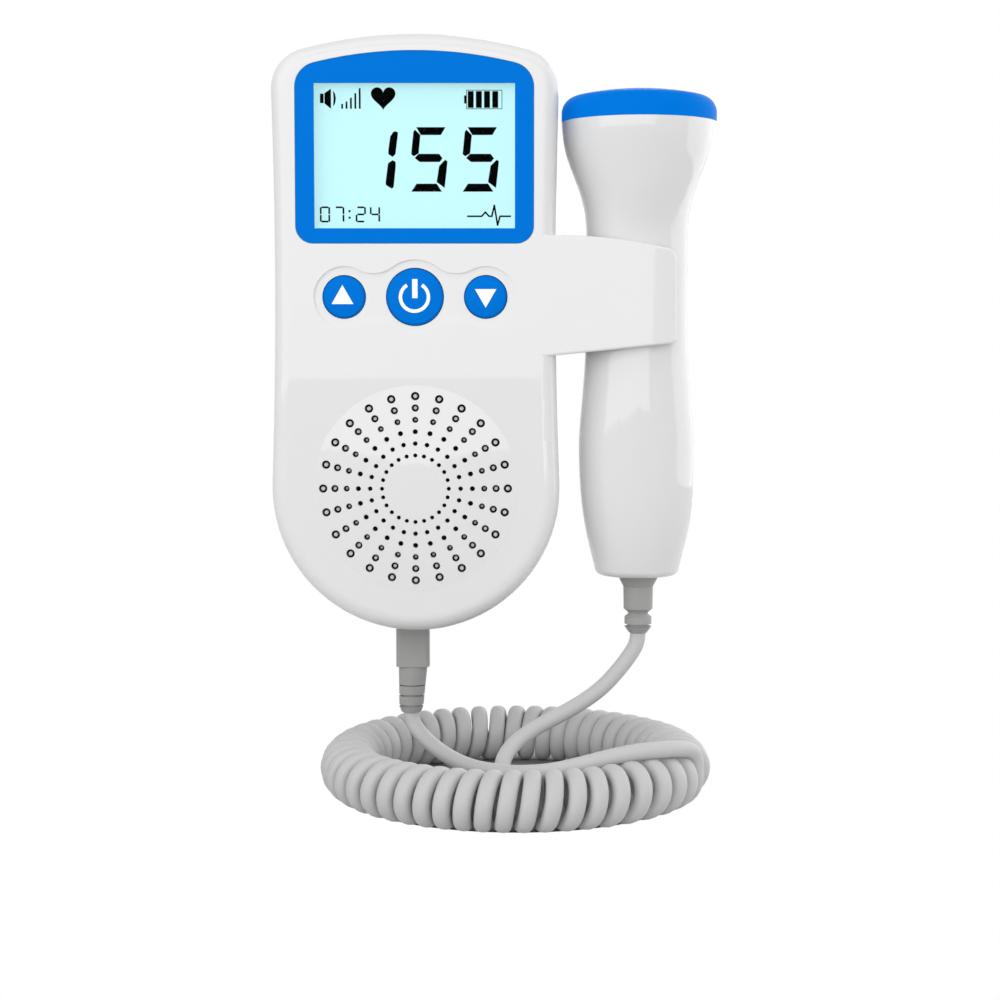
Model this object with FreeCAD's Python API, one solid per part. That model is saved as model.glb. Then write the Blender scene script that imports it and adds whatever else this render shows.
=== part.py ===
import FreeCAD, Part
import math
import os

# Handheld fetal doppler monitor with a holstered ultrasound probe and a curly lead.
# Millimetres. X to the right, Y to the back, Z up. The origin is the centre of the flat back.

V = FreeCAD.Vector
BACK = V(0, 1, 0)
UP = V(0, 0, 1)

# Main unit: outline seen from the front
unit_top_z = 73.6
unit_bottom_z = -73.6
unit_depth = 36.0
bottom_radius = 35.8
waist_inset = 1.1
waist_z = 18.0
dome_radius = 108.5
corner_radius = 10.0

# Main unit: housing
side_wall = 2.0
face_wall = 2.4
back_wall = 2.4
parting_depth = 18.0
front_round = 4.0
back_round = 6.0
lip_thickness = 0.9
lip_height = 1.4
fit_gap = 0.1
open_gap = 0.3
seam_chamfer = 0.2

# Display
bezel_margin = 4.5
bezel_side = 5.55
bezel_bottom_z = 22.5
bezel_corner_radius = 6.0
bezel_foot_radius = 4.2
bezel_thickness = 1.2
window_side = 4.6
window_bottom_z = 26.15
window_top_z = 61.3
lens_thickness = 0.7
lens_border = 1.3
lcd_border = 1.9
lcd_thickness = 2.0
backlight_thickness = 3.0

# Circuit board
board_side = 7.9
board_top_z = 66.0
board_bottom_z = -2.0
board_thickness = 1.6
board_corner = 3.0
board_post_edge = 2.9
board_post_z = 19.0
board_post_radius = 2.4
board_screw_radius = 0.8
board_screw_head_radius = 1.7
board_screw_head_height = 1.1
chip_height = 1.2
capacitor_radius = 2.5
capacitor_height = 5.0
capacitor_places = ((16.0, 44.0), (16.0, 52.0))
chip_places = ((-9.0, 30.0, 9.0, 9.0), (9.0, 28.0, 7.0, 5.0), (4.0, 12.0, 5.0, 4.0), (-12.0, 12.0, 6.0, 3.0))

# Buttons
button_z = 9.4
button_pitch = 17.4
small_button_radius = 5.18
power_button_radius = 6.95
button_side_gap = 0.2
button_proud = 0.35
button_dome = 0.35
button_rim_round = 0.5
button_travel = 0.6
button_flange = 0.9
button_flange_thickness = 0.8
plunger_radius = 1.6
switch_size = 6.0
switch_height = 2.2
switch_tip_radius = 1.7
keypad_side_radius = 7.5
keypad_middle_radius = 9.15
keypad_valley_radius = 8.0
keypad_depth = 0.5

# Speaker and its grille
grille_border = 10.4
grille_thickness = 1.4
grille_crown = 1.0
grille_dish_radius = 7.0
grille_dish_depth = 0.35
grille_ledge = 1.5
hole_spokes = 24
hole_first_ring = 8.25
hole_edge_margin = 2.55
hole_radii = (0.5, 0.56, 0.62, 0.74, 0.9, 1.04)
hole_sides = 8
cloth_thickness = 0.4
speaker_flange_edge = 0.4
speaker_flange_width = 2.6
speaker_flange_thickness = 1.2
speaker_depth = 13.0
speaker_waist_radius = 12.5
speaker_sheet = 0.8
magnet_radius = 11.0
magnet_thickness = 4.5
dust_cap_radius = 6.5
speaker_rib_thickness = 1.2
speaker_rib_height = 3.4
frame_window_width = 9.0
frame_window_gap = 2.0
frame_window_turns = (45, 135, 225, 315)

# Case screws and their posts
top_post_side = 5.1
top_post_z = 54.0
low_post_edge = 6.2
low_post_angle = 50.0
post_radius = 2.9
screw_radius = 1.2
screw_head_radius = 2.2
screw_head_height = 1.6
screw_length = 14.0
screw_gap = 0.05
head_seat_depth = 9.0
head_hole_radius = 2.6
column_radius = 3.7

# Batteries, bay and cover
cell_radius = 7.2
cell_length = 49.3
cell_nub_radius = 2.7
cell_nub_height = 1.2
cell_gap = 0.4
contact_thickness = 0.4
contact_spring_height = 3.4
contact_spring_radius = 3.6
bay_bottom_z = 7.0
bay_wall = 1.4
bay_floor = 1.2
cover_overlap = 2.2
cover_thickness = 2.4
cover_corner = 3.0
cover_recess = 0.1
hinge_pin_radius = 0.7
hinge_pin_length = 1.4
hinge_gap = 0.05
grip_groove_radius = 0.5
grip_groove_count = 4
grip_groove_pitch = 2.2
grip_groove_length = 14.0
thumb_radius = 7.0
thumb_depth = 1.2

# Headphone jack
jack_z = 38.0
jack_bore_radius = 1.8
jack_length = 12.0
jack_width = 6.4
jack_height = 5.0
jack_hole_radius = 3.1

# Probe: half width and half depth at heights along its axis
probe_side = 20.1
probe_y = -20.0
probe_sections = (
    (-61.0, 10.4, 10.2), (-52.1, 12.55, 11.9), (-42.0, 14.25, 12.8), (-31.7, 14.9, 13.0),
    (-21.4, 14.6, 13.0), (-11.3, 13.75, 12.9), (0.0, 13.2, 12.9), (12.0, 13.05, 12.9),
    (22.0, 13.1, 13.0), (29.1, 13.4, 14.4), (34.1, 14.4, 15.9), (39.1, 16.15, 17.2),
    (46.6, 18.7, 18.75), (50.4, 19.3, 19.33), (53.3, 19.5, 19.48))
probe_foot_round = 2.0
probe_wall = 1.8
probe_floor = 2.0
probe_top_z = 61.5
cap_crown_radius = 75.0
cap_shoulder_radius = 4.2
cap_wall = 1.6
spigot_height = 3.5
spigot_thickness = 1.5
spigot_web = 1.2
crystal_radius = 11.0
crystal_thickness = 1.2
crystal_split = 0.8
backing_thickness = 6.0
backing_rim = 1.5
backing_carrier = 1.2
probe_board_width = 15.0
probe_board_top_z = 36.0
probe_board_bottom_z = -34.0
probe_board_thickness = 1.2
probe_board_set_back = 1.0
probe_rib_heights = (-26.0, 2.0, 28.0)
probe_rib_thickness = 1.4

# Holster clip that reaches round the probe
clip_half_width = 15.3
clip_half_depth = 13.4
clip_wall = 2.6
clip_reach = 8.6
clip_root_side = 4.2
clip_root_top_z = 24.6
clip_tip_top_z = 20.9
clip_top_bow = 1.1
clip_root_bottom_z = -5.4
clip_tip_bottom_z = -1.9
clip_top_corner = 3.2
clip_bottom_corner = 1.2
clip_edge_round = 0.6
clip_pocket_wall = 2.2

# Lead, strain reliefs and curly cord
cord_diameter = 4.0
unit_boot_x = -1.5
unit_boot_width = 8.5
unit_boot_depth = 6.6
unit_boot_step_z = -84.8
unit_boot_end_z = -96.8
unit_boot_tail_width = 7.4
unit_boot_end_width = 6.2
unit_boot_lean = 0.5
unit_boot_tail_depth = 6.2
unit_boot_end_depth = 5.6
unit_boot_corner = 1.2
unit_boot_grooves = ((7.0, 0.3), (4.4, 0.5), (1.7, 0.5))
boot_collar_width = 0.45
boot_collar_drop = 0.6
boot_insert = 2.6
boot_flange = 1.2
probe_boot_offset = 0.4
probe_boot_end_z = -75.9
probe_boot_root_z = -61.2
probe_boot_top_radius = 5.0
probe_boot_radius = 3.8
probe_boot_ring_radius = 3.45
ring_x = 24.75
ring_y = -31.0
ring_radius = 41.75
curl_radius = 7.3
floor_z = -115.2
coil_start_angle = -21.0
coil_end_angle = -366.0

# Routes of the two straight stretches of the lead, as points chosen one by one
unit_lead_route = (
    (-2.0, -18.0, -96.8), (-2.0, -18.0, -98.6), (-0.9, -18.8, -100.8), (1.3, -21.2, -103.0),
    (4.6, -27.0, -104.7), (8.8, -36.0, -105.5), (13.4, -46.0, -105.4), (18.8, -54.8, -104.7),
    (25.4, -60.8, -104.0), (33.0, -63.6, -102.9), (40.4, -62.6, -101.4), (46.6, -61.2, -100.0),
    (53.0, -60.0, -98.9), (59.0, -57.8, -98.8), (63.8, -54.4, -99.2), (67.2, -49.7, -100.3),
    (69.0, -46.8, -103.4), (68.8, -47.5, -107.9))
probe_lead_route = (
    (56.3, -20.0, -75.9), (56.3, -20.0, -78.4), (54.2, -20.8, -81.8), (51.0, -22.1, -85.7),
    (47.0, -23.8, -89.7), (41.6, -26.2, -93.2), (35.2, -29.5, -96.1), (29.0, -33.4, -98.6),
    (24.2, -38.2, -101.3), (21.4, -43.2, -104.4), (21.4, -48.0, -107.8), (24.6, -52.0, -110.8),
    (29.8, -54.6, -112.6), (35.6, -55.2, -113.2), (41.2, -53.4, -113.2), (46.2, -50.0, -113.2),
    (50.5, -45.6, -113.2), (54.6, -41.2, -113.2), (58.8, -38.0, -113.2), (62.7, -35.9, -113.2),
    (66.3, -34.9, -113.2))

# Worked out from the sizes above
front_y = -unit_depth
parting_y = -parting_depth
inner_front_y = front_y + face_wall
inner_back_y = -back_wall
bottom_centre_z = unit_bottom_z + bottom_radius
waist_half_width = bottom_radius - waist_inset
bezel_half_width = waist_half_width - bezel_side
window_half_width = bezel_half_width - window_side
board_half_width = waist_half_width - board_side
board_post_x = board_half_width - board_post_edge
top_post_x = waist_half_width - top_post_side
low_post_ring = bottom_radius - low_post_edge
clip_root_x = waist_half_width - clip_root_side
probe_x = bottom_radius + probe_side
grille_radius = bottom_radius - grille_border
speaker_flange_radius = grille_radius - speaker_flange_edge
frame_window_start = speaker_waist_radius + frame_window_gap
frame_window_end = speaker_flange_radius - speaker_flange_width - frame_window_gap
grille_z = bottom_centre_z
ring_z = floor_z + curl_radius
clip_outer_half_depth = clip_half_depth + clip_wall
clip_outer_half_width = clip_half_width + clip_wall
clip_tip_x = probe_x + clip_reach
clip_back_y = probe_y + clip_outer_half_depth
bay_half_width = 2 * cell_radius + 1.5 * cell_gap
cell_stack = cell_length + cell_nub_height + contact_spring_height + 2 * contact_thickness
bay_top_z = bay_bottom_z + cell_stack + cell_gap
bay_floor_y = -(cover_thickness + open_gap + 2 * cell_radius + cell_gap)
cover_half_width = bay_half_width + cover_overlap
cover_bottom_z = bay_bottom_z - cover_overlap
cover_top_z = bay_top_z + cover_overlap
hinge_y = -cover_thickness / 2 - cover_recess
hinge_z = cover_top_z - open_gap - cover_thickness / 2
lcd_front_y = inner_front_y + fit_gap
backlight_front_y = lcd_front_y + lcd_thickness
board_front_y = backlight_front_y + backlight_thickness + fit_gap
board_back_y = board_front_y + board_thickness
switch_front_y = board_front_y - switch_height
button_seat_y = front_y + keypad_depth
hole_ring_pitch = (grille_radius - hole_edge_margin - hole_first_ring) / (len(hole_radii) - 1)
cap_bottom_z = probe_sections[-1][0]
probe_boot_x = probe_x + probe_boot_offset
low_post_x = low_post_ring * math.sin(math.radians(low_post_angle))
low_post_z = grille_z - low_post_ring * math.cos(math.radians(low_post_angle))
post_places = [(side * x, z) for x, z in ((top_post_x, top_post_z), (low_post_x, low_post_z)) for side in (-1, 1)]
button_places = {"up": (-button_pitch, small_button_radius), "power": (0.0, power_button_radius),
                 "down": (button_pitch, small_button_radius)}


# Small building blocks

def box(x0, x1, y0, y1, z0, z1):
    return Part.makeBox(x1 - x0, y1 - y0, z1 - z0, V(x0, y0, z0))


def rod(radius, start, end):
    run = V(*end) - V(*start)
    return Part.makeCylinder(radius, run.Length, V(*start), run)


def rod_y(radius, x, z, y0, y1):
    return rod(radius, (x, y0, z), (x, y1, z))


def in_front_plane(centre, radius, degrees, y):
    angle = math.radians(degrees)
    return V(centre[0] + radius * math.cos(angle), y, centre[1] + radius * math.sin(angle))


def arc_edge(centre, radius, start, end, y):
    stops = [in_front_plane(centre, radius, degrees, y) for degrees in (start, (start + end) / 2, end)]
    return Part.Arc(*stops).toShape()


def line_edge(start, end, y):
    return Part.LineSegment(V(start[0], y, start[1]), V(end[0], y, end[1])).toShape()


def heading(start, end):
    return math.degrees(math.atan2(end[1] - start[1], end[0] - start[0]))


def circles_meet(first, first_radius, second, second_radius):
    """The meeting point of two circles that lies to the left of the way from the first to the second."""
    dx, dz = second[0] - first[0], second[1] - first[1]
    apart = math.hypot(dx, dz)
    along = (apart ** 2 + first_radius ** 2 - second_radius ** 2) / (2 * apart)
    across = math.sqrt(first_radius ** 2 - along ** 2)
    return (first[0] + (along * dx - across * dz) / apart, first[1] + (along * dz + across * dx) / apart)


def prism(edges, depth):
    return Part.Face(Part.Wire(edges)).extrude(BACK * depth)


def edges_on_y(shape, y):
    return [edge for edge in shape.Edges if all(abs(vertex.Y - y) < 1e-6 for vertex in edge.Vertexes)]


def edges_along(shape, direction, test):
    chosen = []
    for edge in shape.Edges:
        if edge.Curve.TypeId != "Part::GeomLine":
            continue
        if abs(abs(edge.tangentAt(edge.FirstParameter).dot(direction)) - 1) < 1e-6 and test(edge.CenterOfMass):
            chosen.append(edge)
    return chosen


def ellipse_wire(half_width, half_depth, x, y, z):
    """An elliptical section across an upright axis, wider than it is deep."""
    return Part.Wire(Part.Ellipse(V(x, y, z), half_width, half_depth).toShape())


def turned(points, centre, axis):
    """A solid of revolution from a closed outline of points."""
    outline = Part.makePolygon([V(*point) for point in points] + [V(*points[0])])
    return Part.Face(outline).revolve(centre, axis, 360)


def turned_y(profile, x, z):
    """A solid turned about an axis along Y, from (radius, y) pairs."""
    return turned([(x + radius, y, z) for radius, y in profile], V(x, 0, z), BACK)


# Main unit outline

def outline(inset, y):
    """The unit's outline, as tangent arcs, moved inwards by inset."""
    bottom = (0.0, bottom_centre_z)
    rise = waist_z - bottom_centre_z
    narrowing = bottom_radius - waist_half_width
    side_radius = (rise ** 2 + waist_half_width ** 2 - bottom_radius ** 2) / (2 * narrowing)
    side = (side_radius + waist_half_width, waist_z)
    dome = (0.0, unit_top_z - dome_radius)
    corner = circles_meet(dome, dome_radius - corner_radius, side, side_radius + corner_radius)
    low = heading(bottom, side)
    high = heading(corner, side)
    shoulder = heading(dome, corner)
    edges = [arc_edge(bottom, bottom_radius - inset, -180 - low, low, y)]
    for mirrored in (False, True):
        half = [
            (side, side_radius + inset, 180 + low, 180 + high),
            (corner, corner_radius - inset, high, shoulder),
        ]
        for centre, radius, start, end in half:
            if mirrored:
                centre, start, end = (-centre[0], centre[1]), 180 - start, 180 - end
            edges.append(arc_edge(centre, radius, start, end, y))
    edges.append(arc_edge(dome, dome_radius - inset, shoulder, 180 - shoulder, y))
    return Part.Wire(Part.__sortEdges__(edges))


def slab(inset, y0, y1):
    return Part.Face(outline(inset, y0)).extrude(BACK * (y1 - y0))


def rounded_slab(inset, y0, y1, radius, round_y):
    block = slab(inset, y0, y1)
    return block.makeFillet(radius, edges_on_y(block, round_y))


def bezel_outline(inset, y):
    dome = (0.0, unit_top_z - dome_radius)
    dome_r = dome_radius - bezel_margin - inset
    corner_r = bezel_corner_radius - inset
    foot_r = bezel_foot_radius - inset
    half = bezel_half_width - inset
    floor = bezel_bottom_z + inset
    corner_x = half - corner_r
    corner_z = dome[1] + math.sqrt((dome_r - corner_r) ** 2 - corner_x ** 2)
    shoulder = heading(dome, (corner_x, corner_z))
    edges = [
        arc_edge(dome, dome_r, shoulder, 180 - shoulder, y),
        arc_edge((-corner_x, corner_z), corner_r, 180 - shoulder, 180, y),
        line_edge((-half, corner_z), (-half, floor + foot_r), y),
        arc_edge((-half + foot_r, floor + foot_r), foot_r, 180, 270, y),
        line_edge((-half + foot_r, floor), (half - foot_r, floor), y),
        arc_edge((half - foot_r, floor + foot_r), foot_r, 270, 360, y),
        line_edge((half, floor + foot_r), (half, corner_z), y),
        arc_edge((corner_x, corner_z), corner_r, 0, shoulder, y),
    ]
    return edges


def window_box(margin, y0, y1):
    return box(-window_half_width - margin, window_half_width + margin, y0, y1,
               window_bottom_z - margin, window_top_z + margin)


def keypad_outline(y):
    """Three lobes round the buttons, joined by hollow arcs."""
    middle = (0.0, button_z)
    right = (button_pitch, button_z)
    valley = circles_meet(middle, keypad_middle_radius + keypad_valley_radius,
                          right, keypad_side_radius + keypad_valley_radius)
    inner = heading(middle, valley)
    outer = heading(right, valley)
    edges = [
        arc_edge(middle, keypad_middle_radius, inner, 180 - inner, y),
        arc_edge(middle, keypad_middle_radius, -inner, inner - 180, y),
        arc_edge(right, keypad_side_radius, -outer, outer, y),
        arc_edge((-right[0], right[1]), keypad_side_radius, 180 - outer, 180 + outer, y),
    ]
    for mirror_x in (1, -1):
        for mirror_z in (1, -1):
            centre = (mirror_x * valley[0], button_z + mirror_z * (valley[1] - button_z))
            start = in_front_plane(middle, keypad_middle_radius, inner, y)
            end = in_front_plane(right, keypad_side_radius, outer, y)
            ends = [V(mirror_x * point.x, y, button_z + mirror_z * (point.z - button_z)) for point in (start, end)]
            trough = V(centre[0], y, centre[1] - mirror_z * keypad_valley_radius)
            edges.append(Part.Arc(ends[0], trough, ends[1]).toShape())
    return Part.__sortEdges__(edges)


# Holster clip

def clip_profile():
    """The clip seen from the front, with its rounded tip and its bowed top."""
    y = front_y - 1
    root_low, tip_low = (clip_root_x, clip_root_bottom_z), (clip_tip_x, clip_tip_bottom_z)
    root_top, tip_top = (clip_root_x, clip_root_top_z), (clip_tip_x, clip_tip_top_z)
    crest = V((root_top[0] + tip_top[0]) / 2, y, (root_top[1] + tip_top[1]) / 2 + clip_top_bow)
    top = Part.Arc(V(root_top[0], y, root_top[1]), crest, V(tip_top[0], y, tip_top[1])).toShape()
    low_edges = [line_edge(tip_low, root_low, y), line_edge(root_low, root_top, y)]
    edges = [top, line_edge(tip_top, tip_low, y)] + low_edges
    block = prism(edges, unit_depth + 2)
    high = edges_along(block, BACK, lambda at: at.x > clip_tip_x - 0.1 and at.z > 0)
    block = block.makeFillet(clip_top_corner, high)
    low = edges_along(block, BACK, lambda at: at.x > clip_tip_x - 0.1 and at.z < 0)
    return block.makeFillet(clip_bottom_corner, low)


def clip_ellipse(half_width, half_depth):
    wire = ellipse_wire(half_width, half_depth, probe_x, probe_y, clip_root_bottom_z - 1)
    return Part.Face(wire).extrude(UP * (clip_root_top_z - clip_root_bottom_z + 2))


def clip_outer_edges(piece):
    """The edges between the clip's outer surface and its top, tip and bottom."""
    chosen = []
    for edge in piece.Edges:
        middle = edge.valueAt((edge.FirstParameter + edge.LastParameter) / 2)
        across = (middle.x - probe_x) / clip_outer_half_width
        away = (middle.y - probe_y) / clip_outer_half_depth
        on_bow = middle.x > probe_x and abs(across ** 2 + away ** 2 - 1) < 0.002
        on_flat = middle.x < probe_x and abs(abs(away) - 1) < 0.0001
        runs_on = edge.BoundBox.XLength > 0.01 or middle.x > clip_tip_x - 0.01
        if (on_bow or on_flat) and runs_on:
            chosen.append(edge)
    return chosen


def clip_half(y0, y1):
    """The part of the clip between two depths, from the housing's wall to the tip."""
    low, high = clip_root_bottom_z - 1, clip_root_top_z + 1
    root = box(clip_root_x, probe_x, probe_y - clip_outer_half_depth, clip_back_y, low, high)
    ring = clip_ellipse(clip_outer_half_width, clip_outer_half_depth).fuse(root)
    ring = ring.cut(clip_ellipse(clip_half_width, clip_half_depth))
    reach = clip_outer_half_width + 1
    ring = ring.common(box(clip_root_x, probe_x + reach, y0, y1, low, high))
    piece = ring.common(clip_profile())
    return piece.makeFillet(clip_edge_round, clip_outer_edges(piece))


def clip_pockets(y0, y1):
    """Hollows that keep the clip's root an even thickness, open at the parting plane."""
    inner = clip_ellipse(clip_half_width + clip_pocket_wall, clip_half_depth + clip_pocket_wall)
    hollow = box(waist_half_width - 0.6, probe_x - 4, y0, y1,
                 clip_root_bottom_z + clip_pocket_wall, clip_root_top_z - clip_pocket_wall)
    return hollow.cut(inner)


# Housing halves

def shell_block(y0, y1, radius, round_y):
    """One solid half of the housing, with its parting edge broken."""
    block = rounded_slab(0, y0, y1, radius, round_y)
    return block.makeChamfer(seam_chamfer, edges_on_y(block, parting_y))


def boot_collar(y0, y1):
    """A low rim round the strain relief, up to the middle of the housing's wall."""
    low = unit_bottom_z - boot_collar_drop
    rim = unit_boot_block(fit_gap + boot_collar_width, unit_bottom_z + side_wall / 2, low)
    return rim.common(box(-bottom_radius, bottom_radius, y0, y1, low, 0))


def front_shell():
    outer = shell_block(front_y, parting_y, front_round, front_y)
    outer = outer.fuse(clip_half(front_y, parting_y))
    shell = outer.cut(rounded_slab(side_wall, inner_front_y, parting_y, front_round - side_wall, inner_front_y))
    lip = slab(side_wall - lip_thickness, inner_front_y, parting_y + lip_height)
    lip = lip.cut(slab(side_wall, inner_front_y, parting_y + lip_height))
    lip = lip.common(box(-100, 100, parting_y - 1, parting_y + lip_height, -100, 100))
    additions = [lip, boot_collar(front_y, parting_y)]
    for x, z in post_places:
        additions.append(rod_y(post_radius, x, z, inner_front_y - 0.5, parting_y - fit_gap))
    for side in (-1, 1):
        additions.append(rod_y(board_post_radius, side * board_post_x, board_post_z, inner_front_y - 0.5,
                               board_front_y - fit_gap))
    rib_inner = speaker_flange_radius + open_gap
    rib_end_y = inner_front_y + speaker_rib_height
    rib = rod_y(rib_inner + speaker_rib_thickness, 0, grille_z, inner_front_y - 0.5, rib_end_y)
    additions.append(rib.cut(rod_y(rib_inner, 0, grille_z, inner_front_y - 1, rib_end_y + 1)))
    shell = shell.fuse(additions)
    cuts = [
        prism(bezel_outline(-fit_gap, front_y), bezel_thickness),
        window_box(fit_gap, front_y, inner_front_y + 1),
        prism(keypad_outline(front_y), keypad_depth),
        rod_y(grille_radius + fit_gap, 0, grille_z, front_y - 1, front_y + grille_thickness),
        rod_y(grille_radius - grille_ledge, 0, grille_z, front_y - 1, inner_front_y + 0.6),
        jack_hole(),
        unit_boot_hollow(),
    ]
    for x, radius in button_places.values():
        cuts.append(rod_y(radius + button_side_gap, x, button_z, front_y - 1, inner_front_y + 1))
    for x, z in post_places:
        cuts.append(rod_y(screw_radius + screw_gap, x, z, parting_y - fit_gap - screw_length, parting_y + 1))
    for side in (-1, 1):
        cuts.append(rod_y(board_screw_radius + screw_gap, side * board_post_x, board_post_z, inner_front_y + 0.8,
                          board_front_y))
    cuts.append(clip_pockets(inner_front_y + 0.6, parting_y))
    return shell.cut(cuts).removeSplitter()


def rear_shell():
    outer = shell_block(parting_y, 0, back_round, 0)
    outer = outer.fuse(clip_half(parting_y, clip_back_y))
    shell = outer.cut(rounded_slab(side_wall, parting_y, inner_back_y, back_round - side_wall, inner_back_y))
    rebate = slab(side_wall - lip_thickness - fit_gap, parting_y, parting_y + lip_height + fit_gap)
    shell = shell.cut(rebate)
    bay_reach = bay_half_width + bay_wall
    bay = box(-bay_reach, bay_reach, bay_floor_y - bay_floor, inner_back_y + 0.5, bay_bottom_z - bay_wall,
              bay_top_z + bay_wall)
    additions = [bay, boot_collar(parting_y, 0)]
    for x, z in post_places:
        column = rod_y(column_radius, x, z, parting_y, inner_back_y + 0.5)
        additions.append(column.common(slab(side_wall + fit_gap, parting_y, 0)))
        additions.append(column.common(slab(side_wall - 0.5, parting_y + lip_height + fit_gap, 0)))
    shell = shell.fuse(additions)
    ledge_y = -(cover_thickness + open_gap)
    cuts = [
        box(-bay_half_width, bay_half_width, bay_floor_y, 1, bay_bottom_z, bay_top_z),
        cover_prism(cover_half_width, cover_bottom_z, cover_top_z, ledge_y, 1),
        thumb_notch(),
        unit_boot_hollow(),
    ]
    for side in (-1, 1):
        reach = side * (cover_half_width + hinge_pin_length + open_gap)
        cuts.append(rod(hinge_pin_radius + hinge_gap, (0, hinge_y, hinge_z), (reach, hinge_y, hinge_z)))
    for x, z in post_places:
        cuts.append(rod_y(screw_radius + 2 * fit_gap, x, z, parting_y - 1, 1))
        cuts.append(rod_y(head_hole_radius, x, z, -head_seat_depth, 1))
    cuts.append(clip_pockets(parting_y, clip_back_y - clip_wall))
    return shell.cut(cuts).removeSplitter()


def jack_hole():
    inner_x = -waist_half_width + side_wall + 1
    return rod(jack_hole_radius, (-bottom_radius - 1, jack_y(), jack_z), (inner_x, jack_y(), jack_z))


def cover_prism(half_width, z0, z1, y0, y1):
    """A plate with its two lower corners rounded; the hinge edge above stays square."""
    block = box(-half_width, half_width, y0, y1, z0, z1)
    return block.makeFillet(cover_corner, edges_along(block, BACK, lambda at: at.z < z0 + 0.1))


def thumb_notch():
    """A scooped finger recess below the battery cover's free edge."""
    ball = Part.makeSphere(thumb_radius, V(0, thumb_radius - thumb_depth, cover_bottom_z))
    return ball.common(box(-thumb_radius, thumb_radius, -thumb_depth, 1, cover_bottom_z - thumb_radius,
                           cover_bottom_z + 0.5))


# Display and electronics

def display_bezel():
    """The blue frame, rebated at the back for the clear lens."""
    frame = prism(bezel_outline(0, front_y), bezel_thickness)
    rebate = window_box(lens_border + fit_gap, front_y + bezel_thickness - lens_thickness, parting_y)
    return frame.cut([window_box(0, front_y - 1, parting_y), rebate])


def display_lens():
    back = front_y + bezel_thickness
    return window_box(lens_border, back - lens_thickness, back)


def lcd_panel():
    return window_box(lcd_border, lcd_front_y, lcd_front_y + lcd_thickness)


def lcd_backlight():
    plate = window_box(lcd_border, backlight_front_y, backlight_front_y + backlight_thickness)
    return plate.makeChamfer(0.6, edges_along(plate, BACK, lambda at: True))


def main_board():
    block = box(-board_half_width, board_half_width, board_front_y, board_back_y, board_bottom_z, board_top_z)
    block = block.makeFillet(board_corner, edges_along(block, BACK, lambda at: True))
    cuts = []
    for side in (-1, 1):
        cuts.append(rod_y(board_screw_radius + 2 * fit_gap, side * board_post_x, board_post_z, board_front_y - 1,
                          board_back_y + 1))
        post_gap = post_radius + open_gap
        cuts.append(rod_y(post_gap, side * top_post_x, top_post_z, board_front_y - 1, board_back_y + 1))
    return block.cut(cuts)


def board_screws():
    screws = []
    for side in (-1, 1):
        x = side * board_post_x
        shank = rod_y(board_screw_radius, x, board_post_z, inner_front_y + 1.0, board_back_y)
        head_end = board_back_y + board_screw_head_height
        head = rod_y(board_screw_head_radius, x, board_post_z, board_back_y, head_end)
        screws.append(shank.fuse(head))
    return Part.makeCompound(screws)


def board_chips():
    """Amplifier, processor, regulator and two capacitors on the back of the board."""
    chips = []
    for x, z, width, height in chip_places:
        chips.append(box(x - width / 2, x + width / 2, board_back_y, board_back_y + chip_height,
                         z - height / 2, z + height / 2))
    for x, z in capacitor_places:
        chips.append(rod_y(capacitor_radius, x, z, board_back_y, board_back_y + capacitor_height))
    return Part.makeCompound(chips)


def tact_switches():
    switches = []
    for x, _ in button_places.values():
        half = switch_size / 2
        body_front = board_front_y - switch_height * 0.7
        body = box(x - half, x + half, body_front, board_front_y, button_z - half, button_z + half)
        switches.append(body.fuse(rod_y(switch_tip_radius, x, button_z, switch_front_y, body_front + 0.1)))
    return Part.makeCompound(switches)


def jack_y():
    return board_back_y + jack_height / 2


def headphone_jack():
    mouth_x = -(waist_half_width - side_wall - fit_gap)
    body = box(mouth_x, mouth_x + jack_length, board_back_y, board_back_y + jack_height,
               jack_z - jack_width / 2, jack_z + jack_width / 2)
    bore = rod(jack_bore_radius, (mouth_x - 1, jack_y(), jack_z), (mouth_x + jack_length - 1.0, jack_y(), jack_z))
    return body.cut(bore)


# Buttons

def button(x, radius):
    """A domed cap, its retaining flange and the plunger that meets the switch."""
    rim_y = button_seat_y - button_proud
    flange_y = inner_front_y + fit_gap
    stem_end = switch_front_y - button_travel - fit_gap
    profile = [(0, rim_y - button_dome), (radius * 0.6, rim_y - button_dome * 0.7),
               (radius - button_rim_round, rim_y), (radius, rim_y + button_rim_round),
               (radius, flange_y), (radius + button_flange, flange_y),
               (radius + button_flange, flange_y + button_flange_thickness),
               (plunger_radius, flange_y + button_flange_thickness), (plunger_radius, stem_end), (0, stem_end)]
    return turned_y(profile, x, button_z)


# Speaker

def grille_hole_centres():
    for ring, hole_radius in enumerate(hole_radii):
        reach = hole_first_ring + ring * hole_ring_pitch
        for spoke in range(hole_spokes):
            angle = 2 * math.pi * spoke / hole_spokes
            yield reach * math.sin(angle), grille_z + reach * math.cos(angle), hole_radius, angle


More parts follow.
